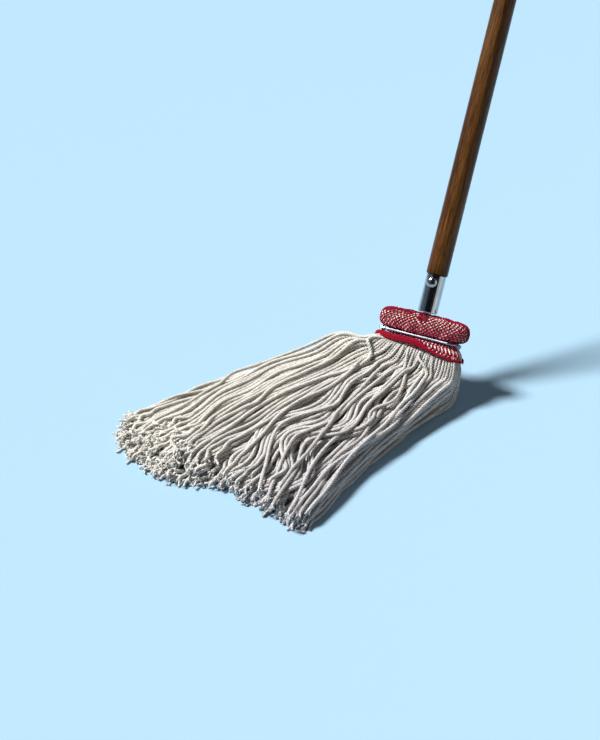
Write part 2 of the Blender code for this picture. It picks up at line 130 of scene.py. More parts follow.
# ------------------------------------------------------------------- materials
class Graph:
    """A material and short ways to add nodes to it."""

    def __init__(self, name, **values):
        self.material = bpy.data.materials.new(name)
        self.material.use_nodes = True
        self.tree = self.material.node_tree
        self.shader = self.tree.nodes["Principled BSDF"]
        for key, value in values.items():
            key = key.replace("_", " ")
            self.shader.inputs[key].default_value = (
                (*value, 1.0) if isinstance(value, tuple) and len(value) == 3 else value
            )

    def node(self, kind, settings=None, **links):
        made = self.tree.nodes.new("ShaderNode" + kind)
        for key, value in (settings or {}).items():
            setattr(made, key, value)
        for key, value in links.items():
            key = int(key[1:]) if key[0] == "i" and key[1:].isdigit() else key.replace("_", " ")
            socket = made.inputs[key]
            if isinstance(value, bpy.types.NodeSocket):
                self.tree.links.new(value, socket)
            else:
                socket.default_value = value
        return made

    def into(self, socket, output):
        self.tree.links.new(output, self.shader.inputs[socket])

    def attribute(self, name):
        return self.node("Attribute", {"attribute_name": name})

    def local(self):
        """Coordinates along the handle: Z up the handle, origin at the crossbar."""
        place = self.node("TexCoord").outputs["Object"]
        moved = self.node("VectorMath", {"operation": "SUBTRACT"}, i0=place, i1=tuple(HEAD))
        turned = self.node(
            "VectorRotate", {"rotation_type": "X_AXIS"}, Vector=moved.outputs[0], Angle=LEAN
        )
        return turned.outputs[0]

    def scaled(self, vector, scale):
        return self.node("VectorMath", {"operation": "MULTIPLY"}, i0=vector, i1=scale).outputs[0]

    def noise(self, vector, scale, detail=3.0, roughness=0.55, distortion=0.0):
        return self.node(
            "TexNoise",
            Vector=vector,
            Scale=scale,
            Detail=detail,
            Roughness=roughness,
            Distortion=distortion,
        ).outputs["Fac"]

    def ramp(self, value, stops):
        made = self.node("ValToRGB", Fac=value)
        elements = made.color_ramp.elements
        while len(elements) < len(stops):
            elements.new(0.5)
        for element, (at, colour) in zip(elements, stops):
            element.position = at
            element.color = (*colour, 1.0) if len(colour) == 3 else colour
        return made.outputs["Color"]

    def mix(self, factor, one, two, kind="MIX"):
        made = self.tree.nodes.new("ShaderNodeMix")
        made.data_type = "RGBA"
        made.blend_type = kind
        for index, value in ((0, factor), (6, one), (7, two)):
            socket = made.inputs[index]
            if isinstance(value, bpy.types.NodeSocket):
                self.tree.links.new(value, socket)
            else:
                socket.default_value = (
                    (*value, 1.0) if isinstance(value, tuple) and len(value) == 3 else value
                )
        return made.outputs[2]

    def range(self, value, low, high, to_low, to_high):
        return self.node(
            "MapRange",
            i0=value,
            i1=low,
            i2=high,
            i3=to_low,
            i4=to_high,
        ).outputs[0]

    def math(self, operation, one, two=0.0):
        return self.node("Math", {"operation": operation}, i0=one, i1=two).outputs[0]

    def bump(self, height, distance, strength=1.0, normal=None):
        links = {"Height": height, "Distance": distance, "Strength": strength}
        if normal is not None:
            links["Normal"] = normal
        return self.node("Bump", **links).outputs[0]


def wood_material():
    g = Graph("stained_wood", Roughness=0.3, Coat_Weight=0.10, Coat_Roughness=0.22, Specular_IOR_Level=0.12)
    place = g.local()
    long = g.scaled(place, (1.0, 1.0, 0.045))
    fine = g.noise(long, 620.0, 4.0, 0.6, 0.25)
    broad = g.noise(long, 95.0, 3.0, 0.5, 1.1)
    pores = g.noise(g.scaled(place, (1.0, 1.0, 0.07)), 1500.0, 2.0, 0.5)
    mixed = g.math("ADD", g.math("MULTIPLY", fine, 0.55), g.math("MULTIPLY", broad, 0.45))
    colour = g.ramp(
        mixed,
        [
            (0.30, (0.012, 0.0045, 0.0020)),
            (0.46, (0.055, 0.020, 0.0055)),
            (0.58, (0.125, 0.050, 0.0115)),
            (0.74, (0.220, 0.098, 0.023)),
        ],
    )
    dark = g.ramp(pores, [(0.36, (0.25, 0.2, 0.18)), (0.46, (1.0, 1.0, 1.0))])
    colour = g.mix(0.7, colour, dark, "MULTIPLY")
    # Towards the lower end of the handle, from 85 mm down to 69 mm above the crossbar, the wood colour is darkened
    # to 0.55 of itself.
    height = g.node("SeparateXYZ", Vector=place).outputs[2]
    lower_end_darkening = g.range(height, 0.069, 0.085, 0.55, 1.0)
    colour = g.mix(1.0, colour, g.node("CombineXYZ", X=lower_end_darkening, Y=lower_end_darkening, Z=lower_end_darkening).outputs[0], "MULTIPLY")
    g.into("Base Color", colour)
    g.into("Roughness", g.range(fine, 0.3, 0.7, 0.24, 0.4))
    g.into("Normal", g.bump(mixed, 0.0004, 0.35))
    return g.material


def metal_material(name, colour, roughness, streak=(1.0, 1.0, 0.06), dull=0.5):
    g = Graph(name, Metallic=1.0)
    place = g.local()
    lines = g.noise(g.scaled(place, streak), 1400.0, 3.0, 0.6)
    patches = g.noise(place, 120.0, 4.0, 0.6, 0.6)
    spots = g.noise(place, 700.0, 2.0, 0.5)
    tone = g.mix(
        g.range(patches, 0.35, 0.7, 0.0, dull), colour, tuple(c * 0.62 for c in colour)
    )
    tone = g.mix(g.range(spots, 0.66, 0.74, 0.0, 0.5), tone, tuple(c * 0.4 for c in colour))
    g.into("Base Color", tone)
    rough = g.math("ADD", g.range(patches, 0.3, 0.7, roughness * 0.8, roughness * 1.35),
                   g.range(lines, 0.35, 0.65, -0.03, 0.05))
    g.into("Roughness", rough)
    g.into("Normal", g.bump(lines, 0.00006, 0.35))
    return g.material


def yarn_material(name, light):
    g = Graph(name, Roughness=0.92, Sheen_Weight=0.25, Sheen_Roughness=0.5, Specular_IOR_Level=0.2)
    fibre = g.attribute("fibre").outputs["Vector"]
    tone = g.attribute("tone").outputs["Fac"]
    place = g.node("TexCoord").outputs["Object"]
    strands = g.noise(g.scaled(fibre, (1.0, 1.0, 0.16)), 2300.0, 3.0, 0.6)
    fluff = g.noise(place, 1700.0, 2.0, 0.7)
    slub = g.noise(g.scaled(fibre, (0.4, 0.4, 0.6)), 130.0, 2.0, 0.5)
    cloud = g.noise(place, 14.0, 2.0, 0.5)
    valley_shade = g.attribute("valley_shade").outputs["Fac"]
    cream = g.mix(tone, (0.80 * light, 0.77 * light, 0.70 * light), (0.94 * light, 0.92 * light, 0.865 * light))
    shaded_grey = g.mix(tone, (0.53 * light, 0.525 * light, 0.555 * light), (0.735 * light, 0.725 * light, 0.75 * light))
    # The loose right-hand side is painted a darker, cooler grey than the left: painted shade, standing in for the
    # light falling from the left.
    side = g.node("SeparateXYZ", Vector=place).outputs
    slide = g.math("ADD", side[0], g.math("MULTIPLY", side[1], -0.55))
    painted_shade_amount = g.range(g.math("ADD", slide, g.math("MULTIPLY", cloud, 0.10)), -0.02, 0.22, 0.0, 1.0)
    colour = g.mix(painted_shade_amount, cream, shaded_grey)
    shade = g.ramp(strands, [(0.30, (0.70, 0.68, 0.66)), (0.55, (1.0, 1.0, 1.0))])
    colour = g.mix(0.75, colour, shade, "MULTIPLY")
    deep = g.ramp(slub, [(0.34, (0.84, 0.83, 0.82)), (0.6, (1.0, 1.0, 1.0))])
    colour = g.mix(0.8, colour, deep, "MULTIPLY")
    speckle = g.noise(place, 620.0, 1.0, 0.5)
    fleck = g.ramp(speckle, [(0.36, (0.68, 0.67, 0.67)), (0.54, (1.0, 1.0, 1.0))])
    colour = g.mix(0.8, colour, fleck, "MULTIPLY")
    # Painted shade: the valleys between the plies are darkened towards a cool dark grey.
    colour = g.mix(g.math("MULTIPLY", valley_shade, 0.6), colour, (0.40, 0.40, 0.45), "MULTIPLY")
    g.into("Base Color", colour)
    one = g.bump(strands, 0.0007, 0.8)
    g.into("Normal", g.bump(fluff, 0.0006, 0.45, one))
    return g.material


def cloth_material(name, low, high, weave=2600.0, rough=0.9):
    g = Graph(name, Roughness=rough, Sheen_Weight=0.02, Sheen_Roughness=0.4, Specular_IOR_Level=0.12)
    place = g.local()
    turned = g.node(
        "VectorRotate", {"rotation_type": "Y_AXIS"}, Vector=place, Angle=math.radians(45)
    ).outputs[0]
    one = g.noise(g.scaled(turned, (0.16, 1.0, 1.0)), weave, 2.0, 0.5)
    two = g.noise(g.scaled(turned, (1.0, 1.0, 0.16)), weave, 2.0, 0.5)
    threads = g.math("MAXIMUM", one, two)
    fuzz = g.noise(place, 900.0, 3.0, 0.65)
    cloud = g.noise(place, 60.0, 3.0, 0.5)
    colour = g.mix(g.range(threads, 0.4, 0.66, 0.0, 1.0), low, high)
    colour = g.mix(g.range(cloud, 0.35, 0.7, 0.0, 0.45), colour, low)
    g.into("Base Color", colour)
    g.into("Roughness", g.range(fuzz, 0.3, 0.7, rough - 0.12, min(rough + 0.08, 1.0)))
    g.into("Normal", g.bump(threads, 0.0005, 0.7, g.bump(fuzz, 0.0005, 0.4)))
    return g.material


WOOD = wood_material()
CHROME = metal_material("chrome", (0.50, 0.515, 0.54), 0.12, dull=0.35)
STEEL = metal_material("zinc_steel", (0.50, 0.515, 0.54), 0.34)
WIRE = metal_material("zinc_wire", (0.27, 0.29, 0.35), 0.24, streak=(0.06, 1.0, 1.0))
YARN = yarn_material("cotton_yarn", 1.0)
# A lighter copy of the yarn for the yarn folded inside the band: painted light, making up for the shade of the net
# over it.
LIT_FOLDED_YARN = yarn_material("folded_yarn_painted_light", 1.13)
MESH_RED = cloth_material("red_mesh", (0.12, 0.001, 0.010), (0.38, 0.003, 0.030), rough=0.8)
HEM_RED = cloth_material("red_hem", (0.10, 0.001, 0.009), (0.37, 0.003, 0.027), 1900.0, 0.95)
THREAD = cloth_material("red_thread", (0.24, 0.006, 0.02), (0.60, 0.03, 0.06), 5200.0, 0.8)

for node, made in {
    "handle": WOOD,
    "ferrule": CHROME,
    "ferrule_bolt": CHROME,
    "bolt_washer": STEEL,
    "bolt_nut": STEEL,
    "neck_plug": STEEL,
    "neck_rivet": STEEL,
    "stem": STEEL,
    "crossbar": STEEL,
    "rear_clamp_wire": WIRE,
    "front_clamp_wire": WIRE,
}.items():
    data = NODES[node].data
    data.materials.clear()
    data.materials.append(made)


# ------------------------------------------------------------ mesh construction
def mesh_object(name, verts, faces, material, attributes=None, smooth=True):
    """A piece from a point array and a list of face arrays, each of one size."""
    faces = [f for f in faces if len(f)]
    data = bpy.data.meshes.new(name)
    data.vertices.add(len(verts))
    data.vertices.foreach_set("co", np.asarray(verts, np.float32).ravel())
    loops = np.concatenate([np.asarray(f).ravel() for f in faces]).astype(np.int32)
    sizes = np.concatenate([np.full(len(f), np.shape(f)[1]) for f in faces])
    starts = (np.cumsum(sizes) - sizes).astype(np.int32)
    data.loops.add(len(loops))
    data.loops.foreach_set("vertex_index", loops)
    data.polygons.add(len(sizes))
    data.polygons.foreach_set("loop_start", starts)
    data.update(calc_edges=True)
    data.validate()
    if smooth:
        data.shade_smooth()
    for key, values in (attributes or {}).items():
        values = np.asarray(values, np.float32)
        kind = "FLOAT_VECTOR" if values.ndim == 2 else "FLOAT"
        made = data.attributes.new(key, kind, "POINT")
        made.data.foreach_set("vector" if values.ndim == 2 else "value", values.ravel())
    data.materials.append(material)
    made = bpy.data.objects.new(name, data)
    bpy.context.scene.collection.objects.link(made)
    return made


def smooth_path(points, count):
    """Each row of points (rows, n, 3) read again at count even places."""
    rows, n, _ = points.shape
    at = np.linspace(0, n - 1, count)
    i = np.minimum(at.astype(int), n - 2)
    f = (at - i)[None, :, None]
    a, b = points[:, np.maximum(i - 1, 0)], points[:, i]
    c, d = points[:, i + 1], points[:, np.minimum(i + 2, n - 1)]
    return 0.5 * (
        2 * b + (c - a) * f + (2 * a - 5 * b + 4 * c - d) * f * f + (3 * b - a - 3 * c + d) * f**3
    )


def normalised(v):
    return v / np.maximum(np.linalg.norm(v, axis=-1, keepdims=True), 1e-12)


def frames(paths):
    """Tangents and two side vectors along each path, turned no more than they must."""
    tangent = normalised(np.gradient(paths, axis=1))
    one = np.empty_like(tangent)
    start = np.cross(tangent[:, 0], np.where(np.abs(tangent[:, :1, 2]) < 0.9, 1.0, 0.0) * np.array((0, 0, 1.0)) + np.where(np.abs(tangent[:, :1, 2]) < 0.9, 0.0, 1.0) * np.array((1.0, 0, 0)))
    one[:, 0] = normalised(start)
    for k in range(1, paths.shape[1]):
        side = one[:, k - 1]
        side = side - (side * tangent[:, k]).sum(-1, keepdims=True) * tangent[:, k]
        one[:, k] = normalised(side)
    return tangent, one, np.cross(tangent, one)


def tubes(paths, radius, angles, reach, twist):
    """Closed tubes round paths (rows, n, 3). angles and reach give the section,
    radius (rows, n) its size and twist (rows, n) how far it has turned."""
    rows, n, _ = paths.shape
    sides = len(angles)
    _, one, two = frames(paths)
    turn = np.asarray(angles)[None, None, :] + twist[:, :, None]
    size = radius[:, :, None] * np.asarray(reach)[None, None, :]
    verts = (
        paths[:, :, None, :]
        + (size * np.cos(turn))[..., None] * one[:, :, None, :]
        + (size * np.sin(turn))[..., None] * two[:, :, None, :]
    ).reshape(-1, 3)
    base = (np.arange(rows)[:, None, None] * n + np.arange(n - 1)[None, :, None]) * sides
    j = np.arange(sides)
    k = (j + 1) % sides
    quads = np.stack([base + j, base + k, base + sides + k, base + sides + j], -1).reshape(-1, 4)
    first = np.arange(rows)[:, None] * n * sides
    caps = np.concatenate([(first + j)[:, ::-1], first + (n - 1) * sides + j])
    along = np.linalg.norm(np.diff(paths, axis=1), axis=2)
    along = np.concatenate([np.zeros((rows, 1)), np.cumsum(along, 1)], 1)
    around = np.broadcast_to(np.asarray(angles), (rows, n, sides))
    fibre = np.stack(
        [
            np.cos(around) * radius[:, :, None] + 0.013 * np.arange(rows)[:, None, None],
            np.sin(around) * radius[:, :, None],
            np.broadcast_to(along[:, :, None], (rows, n, sides)),
        ],
        -1,
    ).reshape(-1, 3)
    return verts, quads, caps, fibre


# Height, half length along X and half depth of the band, in millimetres.
BAND = np.array([
    (-35.0, 62.0, 15.4), (-31.0, 61.2, 14.9), (-26.5, 59.6, 14.1), (-22.5, 57.2, 13.3),
    (-19.5, 54.2, 12.7), (-17.3, 50.2, 12.1), (-15.7, 47.2, 11.1), (-14.0, 46.7, 10.8),
    (-12.2, 47.2, 11.1), (-10.9, 53.2, 12.8), (-9.4, 57.4, 13.9), (-6.8, 60.2, 14.8),
    (-3.2, 61.8, 15.3), (1.0, 62.4, 15.6), (6.0, 61.8, 14.9), (10.5, 59.4, 12.8),
    (13.8, 54.0, 9.8), (15.6, 42.0, 7.8),
])
BAND_POWER = 3.0

# ------------------------------------------------------- the course of the yarn
# Middle line of the yarn along its left edge, its middle and its right edge,
# from the hem to the tips, from the floor below the crossbar, in millimetres.
YARN_LEFT = [(-60.5, -18.8), (-92, -18), (-140, -52), (-195, -118), (-245, -202), (-289, -302)]
YARN_MID = [(0, -18.8), (-16, -38), (-44, -74), (-78, -142), (-112, -242), (-148, -360)]
YARN_RIGHT = [(60.5, -18.8), (60, -38), (53, -68), (38, -128), (20, -232), (14, -374)]
YARN_DEPTH = [26.4, 41.0, 46.0, 40.0, 33.0, 24.0]
YARN_HEIGHT = [54.0, 40.0, 26.0, 20.0, 16.5, 12.0]
HEM_RISE = 8.5
STRAND_R = 2.6 * MM
rng = np.random.default_rng(20)


def through(points, at):
    """Points on the smooth curve through these, at places from 0 to 1."""
    points = np.asarray(points, float)
    if points.ndim == 1:
        points = points[:, None]
    n = len(points) - 1
    where = np.clip(at, 0, 1) * n
    i = np.minimum(where.astype(int), n - 1)
    f = (where - i)[..., None]
    a, b = points[np.maximum(i - 1, 0)], points[i]
    c, d = points[i + 1], points[np.minimum(i + 2, n)]
    return 0.5 * (
        2 * b + (c - a) * f + (2 * a - 5 * b + 4 * c - d) * f * f + (3 * b - a - 3 * c + d) * f**3
    )


def yarn_point(u, v, t):
    """Metres. u from left to right, v from underside to top, t from hem to tips."""
    u, v, t = np.broadcast_arrays(u, v, t)
    w = u[..., None]
    flat = (
        through(YARN_LEFT, t) * 2 * (w - 0.5) * (w - 1)
        + through(YARN_MID, t) * 4 * w * (1 - w)
        + through(YARN_RIGHT, t) * 2 * w * (w - 0.5)
    )
    depth = through(YARN_DEPTH, t)[..., 0]
    height = through(YARN_HEIGHT, t)[..., 0]
    depth = depth * (1 - (0.06 + 0.18 * ease((t - 0.3) / 0.6)) * np.abs(2 * u - 1) ** 5)
    settled = ease(t / (0.42 - 0.16 * u))
    lean = (math.pi / 2 - LEAN) * (1 - settled)
    # The left shoulder stands a little higher than the rest.
    depth = depth + 26.0 * np.exp(-(((u - 0.02) / 0.24) ** 2)) * np.exp(-(((t - 0.2) / 0.17) ** 2))
    z = height * (1 - settled) + depth / 2 * settled + np.cos(lean) * v * depth / 2
    y = flat[..., 1] - np.sin(lean) * v * depth / 2
    rise = HEM_RISE * (1 - ease((-60.5 + 121 * u + 12.0) / 66.0)) * (1 - ease(t / 0.2))
    point = np.stack([flat[..., 0], y + math.sin(LEAN) * rise, z + math.cos(LEAN) * rise], -1)
    return FOOT + point * MM


# Where a strand on the top lies across the yarn, for its place at the hem
# (first number) and at even steps from the hem to the tips.
FLOW = np.array([
    (0.00, 0.000, 0.000, 0.000, 0.005, 0.020, 0.035, 0.035, 0.060, 0.105, 0.125, 0.140),
    (0.06, 0.060, 0.080, 0.120, 0.180, 0.240, 0.280, 0.295, 0.325, 0.340, 0.360, 0.400),
    (0.20, 0.200, 0.240, 0.290, 0.350, 0.400, 0.420, 0.420, 0.425, 0.440, 0.470, 0.510),
    (0.335, 0.335, 0.360, 0.390, 0.450, 0.510, 0.550, 0.590, 0.590, 0.590, 0.630, 0.680),
    (0.48, 0.480, 0.510, 0.540, 0.580, 0.620, 0.655, 0.690, 0.700, 0.690, 0.730, 0.780),
    (0.60, 0.600, 0.620, 0.650, 0.680, 0.715, 0.750, 0.780, 0.800, 0.775, 0.800, 0.845),
    (0.70, 0.700, 0.730, 0.760, 0.790, 0.820, 0.845, 0.865, 0.870, 0.855, 0.870, 0.900),
    (0.85, 0.850, 0.870, 0.890, 0.910, 0.925, 0.935, 0.945, 0.950, 0.940, 0.945, 0.960),
    (1.00, 0.990, 0.990, 0.990, 0.990, 0.990, 0.990, 0.990, 0.990, 0.990, 0.990, 0.990),
])


def flow(u0, t):
    """Place across the yarn at t of top strands that start at u0."""
    result = np.empty(t.shape)
    for k in range(len(u0)):
        row = np.array([np.interp(u0[k], FLOW[:, 0], FLOW[:, 1 + n]) for n in range(11)])
        result[k] = through(row, t[k])[..., 0]
    return result


COLUMNS, ROWS = 31, 11
POINTS = 104
grid_c, grid_r = np.meshgrid(np.arange(COLUMNS), np.arange(ROWS), indexing="ij")
start_u = ((grid_c + 0.5 + 0.25 * (-1.0) ** grid_r) / COLUMNS).ravel()
start_v = (-0.92 + 1.84 * grid_r / (ROWS - 1)).ravel()
start_u = np.clip(start_u ** 1.12 + rng.normal(0, 0.005, start_u.size), 0.012, 0.984)
start_v = start_v + rng.normal(0, 0.03, start_v.size)
spare = rng.uniform(0, 1, start_u.size) < 0.50 * ease((start_u - 0.35) / 0.3) * (np.abs(start_v) < 0.78)
start_u, start_v = start_u[~spare], start_v[~spare]
SHOULDER = 40
shoulder_u = 0.004 + 0.125 * (np.arange(SHOULDER) % 10 + rng.uniform(0.1, 0.9, SHOULDER)) / 10
shoulder_v = -0.1 + 1.1 * (np.arange(SHOULDER) // 10 + rng.uniform(0.2, 0.8, SHOULDER)) / 4
start_u = np.concatenate([start_u, shoulder_u])
start_v = np.concatenate([start_v, shoulder_v])
count = start_u.size

t = np.linspace(0, 1, 260)
end = np.where(start_v > 0, 0.93, 0.985) + rng.uniform(-0.03, 0.03, count)
end = np.minimum(end, 1.0)
time = end[:, None] * t[None, :]
share = np.clip(1.0 * start_v + 0.02, -0.85, 0.85)[:, None]
path_u = start_u[:, None] + (flow(start_u, time) - start_u[:, None]) * share
fan = 0.5 * start_u[-SHOULDER:]
path_u[-SHOULDER:] = flow(fan, time[-SHOULDER:]) + fan[:, None] * (1 - ease(time[-SHOULDER:] / 0.3))
path_u = np.clip(path_u, 0.008, 0.985)
path_v = np.broadcast_to(start_v[:, None], time.shape).copy()

# Strands that can be told apart on the top: places across and along the yarn.
HEROES = [
    [(0.52, 0.02), (0.56, 0.10), (0.65, 0.27), (0.80, 0.45), (0.865, 0.54), (0.866, 0.585), (0.845, 0.612), (0.846, 0.645), (0.895, 0.685), (0.925, 0.74), (0.915, 0.82), (0.944, 0.88), (0.975, 0.98)],
    [(0.66, 0.02), (0.72, 0.15), (0.81, 0.335), (0.88, 0.48), (0.93, 0.57), (0.972, 0.63), (0.975, 0.70), (0.96, 0.78), (0.93, 0.85), (0.935, 0.92), (0.955, 0.99)],
    [(0.60, 0.02), (0.66, 0.25), (0.74, 0.46), (0.79, 0.61), (0.842, 0.70), (0.838, 0.745), (0.775, 0.768), (0.748, 0.795), (0.772, 0.83), (0.812, 0.87), (0.852, 0.93), (0.869, 0.97)],
    [(0.48, 0.02), (0.55, 0.24), (0.655, 0.47), (0.70, 0.61), (0.728, 0.70), (0.706, 0.755), (0.681, 0.785), (0.70, 0.82), (0.75, 0.87), (0.80, 0.92), (0.83, 0.955)],
    [(0.17, 0.0), (0.09, 0.03), (0.062, 0.075), (0.10, 0.125), (0.21, 0.19), (0.35, 0.285), (0.43, 0.39), (0.435, 0.46), (0.40, 0.52), (0.385, 0.58), (0.363, 0.66), (0.368, 0.75), (0.40, 0.86), (0.41, 0.93)],
    [(0.335, 0.02), (0.37, 0.14), (0.42, 0.27), (0.53, 0.41), (0.562, 0.52), (0.62, 0.60), (0.654, 0.645), (0.612, 0.69), (0.572, 0.73), (0.565, 0.775), (0.63, 0.84), (0.70, 0.885), (0.78, 0.94)],
    [(0.60, 0.0), (0.594, 0.05), (0.62, 0.085), (0.70, 0.115), (0.78, 0.20), (0.88, 0.40), (0.92, 0.50), (0.93, 0.57), (0.955, 0.65), (0.963, 0.72), (0.969, 0.79), (0.975, 0.86), (0.985, 0.95)],
    [(0.44, 0.01), (0.48, 0.08), (0.62, 0.26), (0.715, 0.43), (0.75, 0.50), (0.775, 0.565), (0.788, 0.615), (0.818, 0.67), (0.822, 0.725), (0.835, 0.79), (0.87, 0.86), (0.92, 0.93), (0.94, 0.98)],
    [(0.06, 0.02), (0.10, 0.16), (0.18, 0.30), (0.262, 0.44), (0.30, 0.56), (0.292, 0.64), (0.325, 0.70), (0.352, 0.735), (0.342, 0.78), (0.335, 0.84), (0.37, 0.92)],
    [(0.01, 0.01), (0.01, 0.26), (0.025, 0.45), (0.045, 0.56), (0.015, 0.65), (0.055, 0.70), (0.09, 0.735), (0.10, 0.80), (0.115, 0.87), (0.13, 0.95)],
    [(0.25, 0.01), (0.28, 0.16), (0.36, 0.32), (0.46, 0.45), (0.50, 0.56), (0.48, 0.66), (0.50, 0.75), (0.56, 0.83), (0.60, 0.93)],
    [(0.72, 0.01), (0.77, 0.12), (0.84, 0.26), (0.90, 0.42), (0.94, 0.52), (0.965, 0.62), (0.97, 0.74), (0.965, 0.86), (0.965, 0.97)],
    [(0.38, 0.01), (0.45, 0.16), (0.50, 0.30), (0.60, 0.45), (0.66, 0.56), (0.70, 0.66), (0.76, 0.74), (0.80, 0.82), (0.83, 0.92)],
]
hero_u, hero_t = [], []
for points in HEROES:
    places = through(points, t)
    step = np.abs(np.diff(places, axis=0) * (300, 430)).sum(1)
    share = np.concatenate([[0], np.cumsum(step)]) / step.sum()
    places = through(points, np.interp(t, share, t))
    hero_u.append(places[:, 0])
    hero_t.append(places[:, 1])
heroes = len(HEROES)
path_u = np.concatenate([path_u, hero_u])
time = np.concatenate([time, np.clip(hero_t, 0, 1)])
path_v = np.concatenate([path_v, 0.80 + 0.20 * ease(time[-heroes:] / 0.07)])
start_u = np.concatenate([start_u, [h[0][0] for h in HEROES]])
start_v = np.concatenate([start_v, np.full(heroes, 0.95)])
count += heroes
is_hero = np.arange(count) >= count - heroes

# At the hem the strands are squeezed together inside the band.
path_v = path_v * (0.84 + 0.16 * ease(time / 0.08))
path_u = 0.5 + (path_u - 0.5) * (0.965 + 0.035 * ease(time / 0.05))
base = yarn_point(path_u, path_v, time)
along = np.linalg.norm(np.diff(base, axis=1), axis=2)
along = np.concatenate([np.zeros((count, 1)), np.cumsum(along, 1)], 1)
tangent = normalised(np.gradient(base, axis=1))
sideways = normalised(np.cross(tangent, np.array((0, 0, 1.0))))


def waves(groups, amplitude, shortest, longest):
    """Smooth wandering along each strand, shared by the strands of a group."""
    many = groups.max() + 1
    total = np.zeros(along.shape)
    for _ in range(3):
        length = rng.uniform(shortest, longest, many)[groups][:, None]
        phase = rng.uniform(0, 2 * math.pi, many)[groups][:, None]
        size = rng.normal(0, amplitude, many)[groups][:, None]
        total += size * np.sin(2 * math.pi * along / length + phase)
    return total


looseness = (0.45 + 0.85 * ease(path_u / 0.65)) * ease((along - 0.015) / 0.07)
looseness = looseness * (1 - 0.85 * ease((path_u - 0.80) / 0.12))
looseness = np.where(is_hero[:, None], 0.12, looseness)
clumps = (np.floor(start_u * 9 + 0.37 * np.floor(start_v * 2)) + 12 * np.floor(start_v * 1.6 + 2)).astype(int)
clumps -= clumps.min()
single = np.arange(count)
wander = waves(clumps, 4.6 * MM, 0.11, 0.21) + waves(single, 0.8 * MM, 0.07, 0.14)
base = base + sideways * (wander * looseness)[..., None]
base[..., 2] += waves(single, 0.3 * MM, 0.07, 0.14) * looseness

# The last stretch of the left-hand strands is crimped and tangled.
remaining = along[:, -1:] - along
crimp = ease(1 - remaining / 0.06) * (0.35 + 0.65 * ease((0.75 - path_u) / 0.4))
crimp = np.where(is_hero[:, None], crimp * 0.3, crimp)
base = base + sideways * (crimp * waves(single, 2.2 * MM, 0.020, 0.036))[..., None]
base[..., 2] += crimp * np.abs(waves(single, 1.4 * MM, 0.024, 0.04))

# A short stretch inside the head band, before the hem.
rows = []
inside = np.linspace(0.0, 1.0, 8)[:-1]
for k in range(count):
    mouth = base[k, 0]
    local_x = (mouth - HEAD) @ ACROSS
    local_y = (mouth - HEAD) @ BACK
    local_s = (mouth - HEAD) @ UP + 0.011
    half_long = np.interp(local_s / MM, BAND[:, 0], BAND[:, 1]) * MM - 4.5 * MM
    half_deep = np.interp(local_s / MM, BAND[:, 0], BAND[:, 2]) * MM - 3.9 * MM
    deep = head(
        np.clip(local_x * 0.9, -half_long, half_long),
        np.clip(local_y * 0.8, -half_deep, half_deep),
        local_s,
    )
    start = deep + (mouth - deep) * inside[:, None]
    rows.append(np.concatenate([start, base[k]]))
whole = np.array(rows)
step = np.linalg.norm(np.diff(whole, axis=1), axis=2)
reach = np.concatenate([np.zeros((count, 1)), np.cumsum(step, 1)], 1)
length = reach[:, -1]
X = np.empty((count, POINTS, 3))
for k in range(count):
    even = np.linspace(0, length[k], POINTS)
    for axis in range(3):
        X[k, :, axis] = np.interp(even, reach[k], whole[k, :, axis])
segment = (length / (POINTS - 1))[:, None]
distance = np.arange(POINTS)[None, :] * segment


def close_pairs(points, reach):
    """Index pairs of the points nearer to each other than reach."""
    cell = ((points - points.min(0)) / reach).astype(np.int64) + 1
    _, ny, nz = cell.max(0) + 3
    key = (cell[:, 0] * ny + cell[:, 1]) * nz + cell[:, 2]
    order = np.argsort(key, kind="stable")
    ordered = key[order]
    index = np.arange(len(points))
    one, two = [], []
    for dx, dy in ((0, 0), (1, 0), (0, 1), (1, 1), (1, -1)):
        near = key + (dx * ny + dy) * nz
        low = np.searchsorted(ordered, near - 1, "left")
        high = np.searchsorted(ordered, near + 1, "right")
        many = high - low
        i = np.repeat(index, many)
        offset = np.arange(many.sum()) - np.repeat(np.cumsum(many) - many, many)
        j = order[np.repeat(low, many) + offset]
        if dx == 0 and dy == 0:
            keep = j > i
            i, j = i[keep], j[keep]
        one.append(i)
        two.append(j)
    i, j = np.concatenate(one), np.concatenate(two)
    gap = points[i] - points[j]
    keep = (gap * gap).sum(1) < reach * reach
    keep &= (i // POINTS != j // POINTS) | (np.abs(i - j) > 3)
    return i[keep], j[keep]


